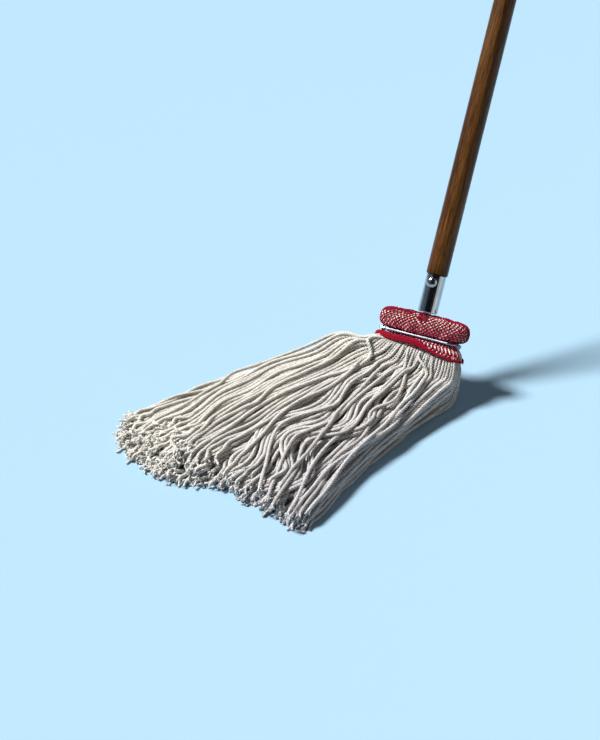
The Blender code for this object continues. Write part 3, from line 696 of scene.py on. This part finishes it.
def settle(X, steps):
    """Lets the strands push each other apart, sink under their weight and come
    to rest on each other and on the floor, keeping their lengths."""
    target = X.copy()
    free = np.clip((distance - 0.016) / 0.02, 0.0, 1.0)[..., None]
    radius = STRAND_R * 0.955 * (0.60 + 0.40 * ease((distance - 0.012) / 0.05))
    flat_radius = radius.ravel()
    rest_bend = 0.5 * (X[:, :-2] + X[:, 2:]) - X[:, 1:-1]
    rest_bow = 0.5 * (X[:, :-8] + X[:, 8:]) - X[:, 4:-4]
    hold = np.where(is_hero, 0.07, 0.022)[:, None, None] * np.ones((1, POINTS, 1))
    near_hem = 1 - ease(distance / 0.10)[..., None]
    weight = 0.00003 * (1 + 2.5 * ease((start_u - 0.62) / 0.25))[:, None]
    hold = hold + 0.06 * near_hem
    for step in range(steps):
        flat = X.reshape(-1, 3)
        if step % 5 == 0:
            one, two = close_pairs(flat, 2 * STRAND_R * 0.955 + 0.0016)
            need = flat_radius[one] + flat_radius[two]
        gap = flat[one] - flat[two]
        apart = np.sqrt((gap * gap).sum(1)) + 1e-9
        deep = need - apart
        touch = deep > 0
        a, b = one[touch], two[touch]
        push = gap[touch] * (deep[touch] / apart[touch] * 0.5)[:, None]
        total = len(flat)
        hits = np.bincount(a, minlength=total) + np.bincount(b, minlength=total)
        moved = np.stack(
            [
                np.bincount(a, push[:, k], total) - np.bincount(b, push[:, k], total)
                for k in range(3)
            ],
            1,
        )
        moved *= (1.35 / np.maximum(1.0, 0.62 * hits))[:, None]
        moved = moved.reshape(X.shape)
        X = X + moved * free
        fade = 1.0 if step < steps * 0.75 else 0.6
        pull = (target - X) * hold * free * fade
        pull[..., 2] *= np.where(is_hero, 0.25, 0.55)[:, None]
        X = X + pull
        X[..., 2] -= weight * free[..., 0]
        stray = X[..., :2] - target[..., :2]
        far = np.linalg.norm(stray, axis=2, keepdims=True)
        X[..., :2] = target[..., :2] + stray * np.minimum(1.0, 0.010 / np.maximum(far, 1e-9))
        bend = 0.5 * (X[:, :-2] + X[:, 2:]) - X[:, 1:-1] - rest_bend * 0.9
        X[:, 1:-1] += 0.35 * bend * free[:, 1:-1]
        bow = 0.5 * (X[:, :-8] + X[:, 8:]) - X[:, 4:-4] - rest_bow
        X[:, 4:-4] += 0.17 * bow * free[:, 4:-4]
        for _ in range(2):
            for parity in (0, 1):
                p, q = X[:, parity:-1:2], X[:, parity + 1 :: 2]
                size = min(p.shape[1], q.shape[1])
                p, q = p[:, :size], q[:, :size]
                wp, wq = free[:, parity:-1:2][:, :size] + 1e-4, free[:, parity + 1 :: 2][:, :size] + 1e-4
                line = q - p
                now = np.linalg.norm(line, axis=2, keepdims=True) + 1e-9
                move = line * (1 - segment[:, None, :] / now) / (wp + wq)
                p += move * wp
                q -= move * wq
        X[..., 2] = np.maximum(X[..., 2], STRAND_R * 1.06)
    return X


X = settle(X, 240)

# The tips end along an uneven line across the floor, in millimetres from the
# foot of the crossbar, from left to right.
TIP_LINE = MM * np.array([
    (-292.0, -262.0), (-286.0, -296.0), (-262.0, -330.0), (-239.0, -352.0), (-206.0, -358.0),
    (-177.0, -358.0), (-152.0, -350.0), (-136.0, -345.0), (-114.0, -344.0), (-94.0, -347.0),
    (-61.0, -361.0), (-34.0, -374.0), (22.0, -374.0), (60.0, -374.0),
])
line_along = normalised(TIP_LINE[-1] - TIP_LINE[0])
line_out = np.array((line_along[1], -line_along[0]))
if (TIP_LINE[0] @ line_out) < 0:
    line_out = -line_out
for k in range(count):
    flat = X[k, :, :2] - FOOT[:2]
    edge = np.interp(flat @ line_along, TIP_LINE @ line_along, TIP_LINE @ line_out)
    over = flat @ line_out - edge + 0.007 - rng.uniform(-0.013, 0.004)
    over = np.maximum(over, -0.282 + rng.uniform(-0.004, 0.006) - flat[:, 0])
    beyond = np.nonzero(over > 0)[0]
    if len(beyond) and beyond[0] > POINTS // 2:
        X[k] = smooth_path(X[k, : beyond[0]][None], POINTS)[0]

# --------------------------------------------------------- strands as real yarn
RINGS = 272
PLY_ANGLES = np.concatenate([np.radians([p * 120 - 60, p * 120 - 23, p * 120 + 23]) for p in range(3)])
PLY_REACH = np.tile([0.64, 1.0, 1.0], 3)
# Marks the ply valleys, where the yarn's colour gets painted shade.
PLY_VALLEY_SHADE = np.tile([1.0, 0.0, 0.0], 3)
smoothed = X.copy()
for _ in range(2):
    smoothed[:, 1:-1] = smoothed[:, 1:-1] * 0.5 + (smoothed[:, :-2] + smoothed[:, 2:]) * 0.25
paths = smooth_path(smoothed, RINGS)
ring_along = np.linalg.norm(np.diff(paths, axis=1), axis=2)
ring_along = np.concatenate([np.zeros((count, 1)), np.cumsum(ring_along, 1)], 1)
size = STRAND_R * (0.66 + 0.34 * ease((ring_along - 0.010) / 0.045))
for wave, amount in ((0.0071, 0.035), (0.0113, 0.04), (0.027, 0.035), (0.049, 0.03)):
    size = size * (1 + amount * np.sin(2 * math.pi * ring_along / wave + rng.uniform(0, 6.3, (count, 1))))
size = size * rng.normal(1.0, 0.035, (count, 1)).clip(0.92, 1.06)
size = np.minimum(size, paths[..., 2] - 0.05 * MM)
left_over = ring_along[:, -1:] - ring_along
size = size * (0.72 + 0.28 * ease(left_over / 0.006))
pitch = rng.uniform(0.0105, 0.0130, (count, 1))
twist = 2 * math.pi * ring_along / pitch + rng.uniform(0, 6.3, (count, 1))
strand_tone = rng.beta(2.2, 1.8, count)

upper = start_v > 0
column = np.zeros(count, int)
for layer in (upper, ~upper):
    column[layer] = np.argsort(np.argsort(start_u[layer], kind="stable")) * 5 // layer.sum()
names = ["left", "mid_left", "centre", "mid_right", "right"]

# The strands that reach furthest, and those that show most, are cords of their own.
tips = paths[:, -1]
outer = (tips - (FOOT + np.array((-0.13, -0.2, 0)))) * (1.0, 1.0, 0)
furthest = np.argsort(-np.linalg.norm(outer, axis=1))
declared = [k for k in range(count) if is_hero[k]]
for k in furthest:
    if len(declared) >= 38:
        break
    if k not in declared:
        declared.append(int(k))
own = np.zeros(count, bool)
own[declared] = True


def strand_mesh(name, chosen):
    verts, quads, caps, fibre = tubes(
        paths[chosen], size[chosen], PLY_ANGLES, PLY_REACH, twist[chosen]
    )
    tone = np.repeat(strand_tone[chosen], RINGS * len(PLY_ANGLES))
    valley_shade = np.tile(PLY_VALLEY_SHADE, len(chosen) * RINGS)
    return mesh_object(
        name, verts, [quads, caps], YARN,
        {"fibre": fibre, "tone": tone, "valley_shade": valley_shade},
    )


for c, column_name in enumerate(names):
    for layer, is_upper in (("front", True), ("rear", False)):
        chosen = np.where((column == c) & (upper == is_upper) & ~own)[0]
        piece = strand_mesh(f"strands_{layer}_{column_name}", chosen)
        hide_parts(f"yarn_{layer}_{column_name}")
        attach(piece, BODY)

for number, k in enumerate(declared):
    piece = strand_mesh(f"strand_{number + 1:02d}", np.array([k]))
    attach(piece, BODY)
    line = paths[k]

# ------------------------------------------------------------------ frayed ends
PLY_POINTS, FIBRE_POINTS = 11, 6
tangents, side_one, side_two = frames(paths)
for c, column_name in enumerate(names):
    chosen = np.where(column == c)[0]
    plies, ply_size, ply_tone = [], [], []
    hairs, hair_size, hair_tone = [], [], []
    for k in chosen:
        at = RINGS - 4
        root = paths[k, at]
        forward, e1, e2 = tangents[k, at], side_one[k, at], side_two[k, at]
        tangled = 1.0 - ease((tips[k, 0] - FOOT[0] + 0.21) / 0.12)
        for ply in range(3):
            angle = ply * math.tau / 3 + twist[k, at] + rng.uniform(-0.3, 0.3)
            outward = math.cos(angle) * e1 + math.sin(angle) * e2
            long = rng.uniform(0.005, 0.011) + tangled * rng.uniform(0.002, 0.006)
            spread = rng.uniform(0.08, 0.42) + tangled * rng.uniform(0.0, 0.3)
            curl = rng.uniform(0.0004, 0.0011) + tangled * rng.uniform(0.0005, 0.0020)
            turns = rng.uniform(0.6, 1.2) + tangled * rng.uniform(0.2, 1.0)
            f = np.linspace(0, 1, PLY_POINTS)[:, None]
            swing = 2 * math.pi * turns * f + angle
            heading = forward + outward * spread * f
            line = root + outward * STRAND_R * 0.42 + heading * long * f
            line = line + curl * f * (np.cos(swing) * e1 + np.sin(swing) * e2)
            line[:, 2] -= (f[:, 0] ** 2) * 0.003
            thick = np.linspace(1.55, 1.25, PLY_POINTS) * MM
            thick[-1] = 0.7 * MM
            line[:, 2] = np.maximum(line[:, 2], 1.65 * MM)
            plies.append(line)
            ply_size.append(thick)
            ply_tone.append(0.2 + 0.6 * strand_tone[k])
            head_on = normalised(line[-1] - line[-3])
            for _ in range(3):
                aim = normalised(head_on + rng.normal(0, 0.6, 3))
                reach_out = rng.uniform(0.0016, 0.0036)
                g = np.linspace(0, 1, FIBRE_POINTS)[:, None]
                bow = rng.normal(0, 0.0018, 3)
                begin = line[-3] + rng.normal(0, 0.0004, 3)
                hair = begin + aim * reach_out * g + bow * np.sin(math.pi * g) * 0.6
                hair[:, 2] = np.maximum(hair[:, 2] - (g[:, 0] ** 2) * 0.001, 0.55 * MM)
                hairs.append(hair)
                hair_size.append(np.linspace(0.5, 0.2, FIBRE_POINTS) * MM)
                # The hairs get a lighter tone than their strand: painted light that offsets the shade among them.
                hair_tone.append(0.4 + 0.5 * strand_tone[k])
    verts, quads, caps, fibre = tubes(
        np.array(plies), np.array(ply_size), np.radians([0, 60, 120, 180, 240, 300]),
        [1.0, 0.86, 1.0, 1.0, 0.86, 1.0], np.linspace(0, 5, PLY_POINTS)[None, :] * np.ones((len(plies), 1)),
    )
    hair_verts, hair_quads, hair_caps, hair_fibre = tubes(
        np.array(hairs), np.array(hair_size), np.radians([0, 120, 240]), [1, 1, 1],
        np.zeros((len(hairs), FIBRE_POINTS)),
    )
    shift = len(verts)
    tone = np.concatenate([
        np.repeat(ply_tone, PLY_POINTS * 6), np.repeat(hair_tone, FIBRE_POINTS * 3)
    ])
    piece = mesh_object(
        f"frayed_ends_{column_name}",
        np.concatenate([verts, hair_verts]),
        [quads, hair_quads + shift, caps, hair_caps + shift],
        YARN,
        {"fibre": np.concatenate([fibre, hair_fibre]), "tone": tone},
    )
    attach(piece, BODY)

# -------------------------------------------------------------------- head band


def hem_lift(x, s):
    return HEM_RISE * (1 - ease((x + 12.0) / 66.0)) * np.clip((-19.6 - s) / 9.0, 0, 1)


def half_ring(s, a, b, side, columns):
    """One flap's half of the band's ring at a height, left to right, in mm."""
    angle = np.linspace(0, math.pi, 241)
    c, d = np.cos(angle), np.sin(angle)
    x = -a * np.sign(c) * np.abs(c) ** (2 / BAND_POWER)
    y = b * d ** (2 / BAND_POWER)
    slit = 3.4 * ease((-15.5 - s) / 3.0)
    keep = y >= slit * 0.999
    x, y = x[keep], y[keep]
    step = np.hypot(np.diff(x), np.diff(y))
    share = np.concatenate([[0], np.cumsum(step)])
    at = np.linspace(0, share[-1], columns)
    return np.interp(at, share, x), side * np.interp(at, share, y)


BAND_COLUMNS, FLAP_ROWS, TOP_ROWS = 97, 61, 15
smooth_band = through(BAND, np.linspace(0, 1, 400))
run = np.hypot(np.diff(smooth_band[:, 0]), np.diff(smooth_band[:, 2]))
run = np.concatenate([[0], np.cumsum(run)])
flap_rows = np.stack([np.interp(np.linspace(0, run[-1], FLAP_ROWS), run, smooth_band[:, k]) for k in range(3)], 1)
sheet_rows = []
for s, a, b in flap_rows:
    x, y = half_ring(s, a, b, -1.0, BAND_COLUMNS)
    sheet_rows.append(np.stack([x, y, s + hem_lift(x, s)], 1))
front_top = sheet_rows[-1]
for f in np.linspace(0, 1, TOP_ROWS)[1:-1]:
    line = front_top.copy()
    line[:, 1] = front_top[:, 1] * (1 - 2 * f)
    line[:, 2] = front_top[:, 2] + 1.5 * math.sin(math.pi * f) * np.clip(np.abs(front_top[:, 1]) / 7.8, 0, 1)
    sheet_rows.append(line)
for s, a, b in flap_rows[::-1]:
    x, y = half_ring(s, a, b, 1.0, BAND_COLUMNS)
    sheet_rows.append(np.stack([x, y, s + hem_lift(x, s)], 1))
SHEET = np.array(sheet_rows)
sheet_run = np.linalg.norm(np.diff(SHEET[:, BAND_COLUMNS // 2], axis=0), axis=1)
sheet_run = np.concatenate([[0], np.cumsum(sheet_run)])
SHEET_LONG = sheet_run[-1]
across_run = np.linalg.norm(np.diff(SHEET[FLAP_ROWS // 2], axis=0), axis=1).sum()
SHEET_NORMAL = normalised(np.cross(np.gradient(SHEET, axis=1), np.gradient(SHEET, axis=0)))
if SHEET_NORMAL[FLAP_ROWS // 2, BAND_COLUMNS // 2, 1] > 0:
    SHEET_NORMAL = -SHEET_NORMAL


def on_sheet(p, q, out=0.0):
    """World points on the band. p is 0 to 1 across, q 0 to 1 from the front hem
    over the top to the rear hem, out how far outside, in millimetres."""
    row = np.interp(np.clip(q, 0, 1) * SHEET_LONG, sheet_run, np.arange(len(SHEET)))
    col = np.clip(p, 0, 1) * (BAND_COLUMNS - 1)
    i = np.minimum(row.astype(int), len(SHEET) - 2)
    j = np.minimum(col.astype(int), BAND_COLUMNS - 2)
    fi, fj = (row - i)[..., None], (col - j)[..., None]

    def read(values):
        return (
            values[i, j] * (1 - fi) * (1 - fj)
            + values[i + 1, j] * fi * (1 - fj)
            + values[i, j + 1] * (1 - fi) * fj
            + values[i + 1, j + 1] * fi * fj
        )

    local = read(SHEET) + read(SHEET_NORMAL) * (np.asarray(out) + creases(p, q))[..., None]
    return head(local[..., 0] * MM, local[..., 1] * MM, local[..., 2] * MM), local


def creases(p, q):
    """How far folds lift or sink the cloth, in millimetres."""
    edge = ease(np.minimum(p, 1 - p) / 0.06) * ease(np.minimum(q, 1 - q) / 0.07)
    waist_front = np.exp(-(((q - 0.185) / 0.05) ** 2))
    waist_rear = np.exp(-(((q - 0.815) / 0.05) ** 2))
    fold = 0.45 * np.sin(2 * math.pi * (p * 11.3 + 0.8 * np.sin(5 * p))) * (waist_front + waist_rear)
    line = p - (0.445 + 0.26 * (0.36 - q))
    strong = ease((q - 0.2) / 0.05) * ease((0.50 - q) / 0.10)
    fold = fold - 1.5 * np.exp(-((line / 0.026) ** 2)) * strong
    fold = fold + 0.9 * np.exp(-(((line + 0.06) / 0.035) ** 2)) * strong
    fold = fold + 0.7 * np.exp(-(((line - 0.06) / 0.035) ** 2)) * strong
    second = p - (0.70 + 0.30 * (0.30 - q))
    fold = fold - 0.8 * np.exp(-((second / 0.03) ** 2)) * strong
    fold = fold + 0.35 * np.sin(2 * math.pi * (2.1 * p + 3.3 * q)) + 0.3 * np.sin(2 * math.pi * (5.2 * p - 4.1 * q))
    return fold * edge


def warp(p, q):
    """The weave is drawn aside a little, so that its rows of holes curve."""
    edge = np.sin(math.pi * p) * np.sin(math.pi * np.clip(q, 0, 1))
    pull = 0.022 * np.exp(-(((p - 0.40) / 0.10) ** 2)) * np.sign(q - 0.5)
    p = p + edge * (0.012 * np.sin(2 * math.pi * (q * 2.0 + 0.35)) + pull)
    q = q + edge * (0.010 * np.sin(2 * math.pi * (p * 1.6 + 0.1)) - 0.007 * np.sin(2 * math.pi * 3.1 * p))
    return p, q


CELLS_P, CELLS_Q = 24, 22
hole_angle = np.arange(8) * math.pi / 4


def lattice():
    """Open mesh: diamond cells, each with a rounded hole, as one sheet."""
    index, verts, quads = {}, [], []

    def vert(i, j, ring, k):
        key = (i, j, ring, k)
        if key not in index:
            index[key] = len(verts)
            verts.append(key_place(i, j, ring, k))
        return index[key]

    def key_place(i, j, ring, k):
        if ring == 0:
            return (i, j, 0.42)
        reach = 0.80 if ring == 1 else 0.575
        c, s = math.cos(hole_angle[k]), math.sin(hole_angle[k])
        diamond = 1.0 / (abs(c) + abs(s))
        bend = 0.62 * diamond + 0.38 * 0.80 if ring == 2 else 0.85 * diamond + 0.15 * 0.78
        return (i + c * bend * reach * 2, j + s * bend * reach * 2, 0.16 if ring == 1 else -0.34)

    for ci in range(0, 2 * CELLS_P + 1):
        for cj in range(0, 2 * CELLS_Q + 1):
            if (ci + cj) % 2 == 0:
                continue
            i, j = 2 * ci, 2 * cj
            outer = [(2, 0), (1, 1), (0, 2), (-1, 1), (-2, 0), (-1, -1), (0, -2), (1, -1)]
            if ci in (0, 2 * CELLS_P) or cj in (0, 2 * CELLS_Q):
                continue
            for k in range(8):
                n = (k + 1) % 8
                a = vert(i + outer[k][0], j + outer[k][1], 0, 0)
                b = vert(i + outer[n][0], j + outer[n][1], 0, 0)
                c, d = vert(i, j, 1, k), vert(i, j, 1, n)
                e, f = vert(i, j, 2, k), vert(i, j, 2, n)
                quads.append((a, b, d, c))
                quads.append((c, d, f, e))
    return np.array(verts), np.array(quads)


flat, quads = lattice()
p = flat[:, 0] / (4 * CELLS_P)
q = flat[:, 1] / (4 * CELLS_Q)
p, q = warp(p, q)
world, local = on_sheet(p, q, flat[:, 2] - 0.25)
from_stem = np.hypot(local[:, 0], local[:, 1])
near_stem = (from_stem < 6.15) & (local[:, 2] > 12)
keep = ~near_stem[quads].all(1)
push = np.where(near_stem, 6.15 / np.maximum(from_stem, 0.5), 1.0)[:, None]
world = head(*(local * np.concatenate([push, push, np.ones_like(push)], 1) * MM).T)
quads = quads[keep]
used = np.unique(quads)
renumber = np.full(len(flat), -1)
renumber[used] = np.arange(len(used))
band = mesh_object("headband_cloth", world[used], [renumber[quads]], MESH_RED)


def solidify(obj, thickness, offset):
    made = obj.modifiers.new("thickness", "SOLIDIFY")
    made.thickness = thickness
    made.offset = offset
    made.use_even_offset = False
    applied = bpy.data.meshes.new_from_object(obj.evaluated_get(bpy.context.evaluated_depsgraph_get()))
    obj.modifiers.clear()
    obj.data = applied
    return obj


def facing_out(obj):
    """True if the sheet's faces look away from the crossbar."""
    total = 0.0
    centre = Vector(HEAD)
    for face in list(obj.data.polygons)[:: max(1, len(obj.data.polygons) // 400)]:
        total += face.normal.dot((face.center - centre).normalized())
    return total > 0


if not facing_out(band):
    band.data.flip_normals()
solidify(band, 0.62 * MM, -1.0)
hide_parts("headband_mesh")
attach(band, BODY)


# -------------------------------------------------- hems, seams and their thread
def tape(name, p_low, p_high, q_of, out, thick, material, fuzz=0.18, count=190, tall=13):
    """A strip of cloth on the band. q_of(p) gives its lower and upper edges."""
    p = np.linspace(p_low, p_high, count)
    low, high = q_of(p)
    f = np.linspace(0, 1, tall)[:, None]
    P = np.broadcast_to(p, (tall, count))
    Q = low[None, :] * (1 - f) + high[None, :] * f
    crown = 0.35 * np.sin(math.pi * f)
    noise = rng.normal(0, 1, (tall, count))
    noise = (noise + np.roll(noise, 1, 0) + np.roll(noise, 1, 1)) / 1.7
    top, _ = on_sheet(P, Q, out + thick + crown + fuzz * noise)
    under, _ = on_sheet(P, Q, np.full(P.shape, out))
    verts = np.concatenate([top.reshape(-1, 3), under.reshape(-1, 3)])
    idx = np.arange(tall * count).reshape(tall, count)
    a, b, c, d = idx[:-1, :-1], idx[:-1, 1:], idx[1:, 1:], idx[1:, :-1]
    face = np.stack([a, b, c, d], -1).reshape(-1, 4)
    back = face[:, ::-1] + tall * count
    rim = np.concatenate([idx[0], idx[1:, -1], idx[-1, ::-1][1:], idx[::-1, 0][1:-1]])
    nxt = np.roll(rim, -1)
    side = np.stack([nxt, rim, rim + tall * count, nxt + tall * count], 1)
    made = mesh_object(name, verts, [face, back, side], material)
    mesh = bmesh.new()
    mesh.from_mesh(made.data)
    bmesh.ops.recalc_face_normals(mesh, faces=mesh.faces[:])
    mesh.to_mesh(made.data)
    mesh.free()
    return made


def front_edges(p):
    tall = 0.072 - 0.045 * ease((p - 0.50) / 0.22)
    return np.full(p.shape, -0.0) + 0.001, 0.001 + tall


def rear_edges(p):
    return np.full(p.shape, 0.999), np.full(p.shape, 0.999 - 0.052)


front_hem = tape("front_hem_tape", 0.012, 0.988, front_edges, 0.3, 1.25, HEM_RED)
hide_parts("front_hem")
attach(front_hem, BODY)
rear_hem = tape("rear_hem_tape", 0.012, 0.988, rear_edges, 0.3, 1.25, HEM_RED)
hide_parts("rear_hem")
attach(rear_hem, BODY)


def stitches(name, edges, share, replaced):
    """A row of short stitches that dip into the tape at both ends."""
    lines = []
    many = 46
    for k in range(many):
        middle = 0.03 + 0.94 * (k + 0.5) / many
        p = middle + np.linspace(-0.0082, 0.0082, 9)
        low, high = edges(p)
        q = low + (high - low) * share + 0.004 * np.linspace(-1, 1, 9) * (1 if k % 2 else -1)
        lift = 1.75 + 0.55 * np.sin(np.linspace(0, math.pi, 9))
        lines.append(on_sheet(p, q, lift)[0])
    verts, faces, caps, _ = tubes(
        np.array(lines), np.full((many, 9), 0.40 * MM), np.radians(np.arange(0, 360, 60)), np.ones(6),
        np.zeros((many, 9)),
    )
    made = mesh_object(name, verts, [faces, caps], THREAD)
    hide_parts(replaced)
    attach(made, BODY)
    return made


front_stitch = stitches("front_hem_thread", front_edges, 0.62, "front_hem_stitch")
rear_stitch = stitches("rear_hem_thread", rear_edges, 0.62, "rear_hem_stitch")

# Side seams, where the front and the rear of the folded sheet are sewn together.
seams = []
for p_edge, side in ((0.0, -1), (1.0, 1)):
    q = np.linspace(0.215, 0.785, 90)
    seams.append(on_sheet(np.full(90, p_edge), q, np.full(90, 0.25))[0])
seams = np.array(seams)
verts, faces, caps, _ = tubes(
    seams, np.full((2, 90), 1.15 * MM), np.radians(np.arange(0, 360, 36)),
    np.tile([1.0, 0.86], 5), np.linspace(0, 60, 90)[None, :] * np.ones((2, 1)),
)
seam = mesh_object("headband_side_seams", verts, [faces, caps], HEM_RED)
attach(seam, BODY)

# The fuzz of the cut edge below each hem.
hairs = []
for q_edge, side in ((0.0, -1), (1.0, 1)):
    for _ in range(420):
        p0 = rng.uniform(0.01, 0.99)
        start, _ = on_sheet(np.array([p0]), np.array([q_edge]), np.array([rng.uniform(0.2, 1.7)]))
        g = np.linspace(0, 1, 5)[:, None]
        aim = -UP * rng.uniform(0.5, 1.0) + ACROSS * rng.normal(0, 0.55) + BACK * side * rng.uniform(0, 0.6)
        reach_out = rng.uniform(0.0010, 0.0030)
        hairs.append(start[0] + UP * 0.0012 + aim * reach_out * g + ACROSS * rng.normal(0, 0.0006) * g**2)
verts, faces, caps, _ = tubes(
    np.array(hairs), np.linspace(0.26, 0.12, 5)[None, :] * MM * np.ones((len(hairs), 1)),
    np.radians([0, 120, 240]), [1, 1, 1], np.zeros((len(hairs), 5)),
)
fuzz = mesh_object("hem_fuzz", verts, [faces, caps], HEM_RED)
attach(fuzz, BODY)

# -------------------------------------------- yarn folded over inside the band
inner = []
INNER = 42
for k in range(INNER):
    q = np.linspace(0.015, 0.985, 84)
    p = np.full(84, (k + 0.5) / INNER) + 0.003 * np.sin(q * 40 + k * 1.7)
    inward = np.full(84, -3.25)
    for _ in range(3):
        _, local = on_sheet(p, q, inward)
        at_top = ease((local[:, 2] - 3) / 6)
        room = np.maximum(9.4 - np.abs(local[:, 0]), 0) * at_top
        p = p + room * np.where(k < INNER / 2, -1, 1) / across_run
    inner.append(on_sheet(p, q, inward)[0])
inner = smooth_path(np.array(inner), 84)
inner_along = np.linspace(0, 0.13, 84)[None, :] * np.ones((INNER, 1))
verts, faces, caps, fibre = tubes(
    inner, np.full((INNER, 84), 2.65 * MM), PLY_ANGLES, PLY_REACH, 2 * math.pi * inner_along / 0.021,
)
# Painted light: the folded yarn takes the lighter yarn copy, high tones and only a weak painted valley shade,
# against the shade under the net.
folded = mesh_object(
    "folded_yarn", verts, [faces, caps], LIT_FOLDED_YARN,
    {
        "fibre": fibre,
        "tone": np.repeat(rng.uniform(0.85, 1.0, INNER), 84 * len(PLY_ANGLES)),
        "valley_shade": np.tile(0.15 * PLY_VALLEY_SHADE, INNER * 84),
    },
)
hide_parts("yarn_core")
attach(folded, BODY)

# ------------------------------------------------------------- floor and lights
floor_data = bpy.data.meshes.new("floor")
floor_data.from_pydata([(-30, -30, 0), (30, -30, 0), (30, 30, 0), (-30, 30, 0)], [], [(0, 1, 2, 3)])
floor = bpy.data.objects.new("floor", floor_data)
bpy.context.scene.collection.objects.link(floor)
floor.location = (0, 0, -0.0002)
ground = Graph("pale_floor", Roughness=0.85, Base_Color=(0.32, 0.49, 0.63), Specular_IOR_Level=0.1)
floor_data.materials.append(ground.material)

world = bpy.data.worlds.new("soft_studio")
bpy.context.scene.world = world
world.use_nodes = True
tree = world.node_tree
background = tree.nodes["Background"]


def world_node(kind, **settings):
    made = tree.nodes.new("ShaderNode" + kind)
    for key, value in settings.items():
        setattr(made, key, value)
    return made


def glow(direction, low, high, level):
    """A soft lit patch of the studio round a direction, from 0 to level."""
    dot = world_node("VectorMath", operation="DOT_PRODUCT")
    tree.links.new(world_node("TexCoord").outputs["Generated"], dot.inputs[0])
    dot.inputs[1].default_value = tuple(normalised(np.asarray(direction, float)))
    fade = world_node("MapRange", interpolation_type="SMOOTHSTEP")
    tree.links.new(dot.outputs["Value"], fade.inputs[0])
    for n, value in enumerate((low, high, 0.0, level)):
        fade.inputs[n + 1].default_value = value
    return fade.outputs[0]


# The studio is dimmer on the side that faces the front of the mop and has a
# broad warm panel at its right, which polished metal reflects.
tint = world_node("Mix", data_type="RGBA")
tint.inputs[6].default_value = (0.62, 0.80, 1.0, 1.0)
tint.inputs[7].default_value = (1.25, 1.12, 0.92, 1.0)
tree.links.new(glow(right * 1.0 - away * 0.35, 0.55, 0.85, 1.0), tint.inputs[0])
dim = world_node("Mix", data_type="RGBA")
dim.inputs[7].default_value = (0.03, 0.04, 0.065, 1.0)
tree.links.new(tint.outputs[2], dim.inputs[6])
tree.links.new(glow(away + np.array((0, 0, 0.25)), 0.45, 0.8, 1.0), dim.inputs[0])
seen = world_node("Mix", data_type="RGBA")
seen.inputs[7].default_value = (0.78, 0.90, 1.0, 1.0)
tree.links.new(world_node("LightPath").outputs["Is Camera Ray"], seen.inputs[0])
tree.links.new(dim.outputs[2], seen.inputs[6])
tree.links.new(seen.outputs[2], background.inputs["Color"])
background.inputs["Strength"].default_value = 0.19


def area(name, place, aim, size, power, colour):
    data = bpy.data.lights.new(name, "AREA")
    data.shape = "DISK"
    data.size = size
    data.energy = power
    data.color = colour
    made = bpy.data.objects.new(name, data)
    bpy.context.scene.collection.objects.link(made)
    made.location = Vector(place)
    made.rotation_mode = "QUATERNION"
    made.rotation_quaternion = (Vector(aim) - Vector(place)).to_track_quat("-Z", "Y")
    return made


middle = FOOT + np.array((-0.1, -0.15, 0.03))
sun = bpy.data.lights.new("key", "SUN")
sun.energy = 6.3
sun.angle = 0.24
sun.color = (1.0, 0.98, 0.945)
key = bpy.data.objects.new("key", sun)
bpy.context.scene.collection.objects.link(key)
key.rotation_mode = "QUATERNION"
key.rotation_quaternion = Vector((1.30, 0.50, -1.75)).to_track_quat("-Z", "Y")
area("fill", middle + 2.0 * right + 1.0 * away + np.array((0, 0, 0.3)), middle, 2.5, 9.0, (1.0, 0.93, 0.82))

scene = bpy.context.scene
scene.view_settings.view_transform = "Standard"
scene.view_settings.look = "None"
scene.view_settings.exposure = 0.0
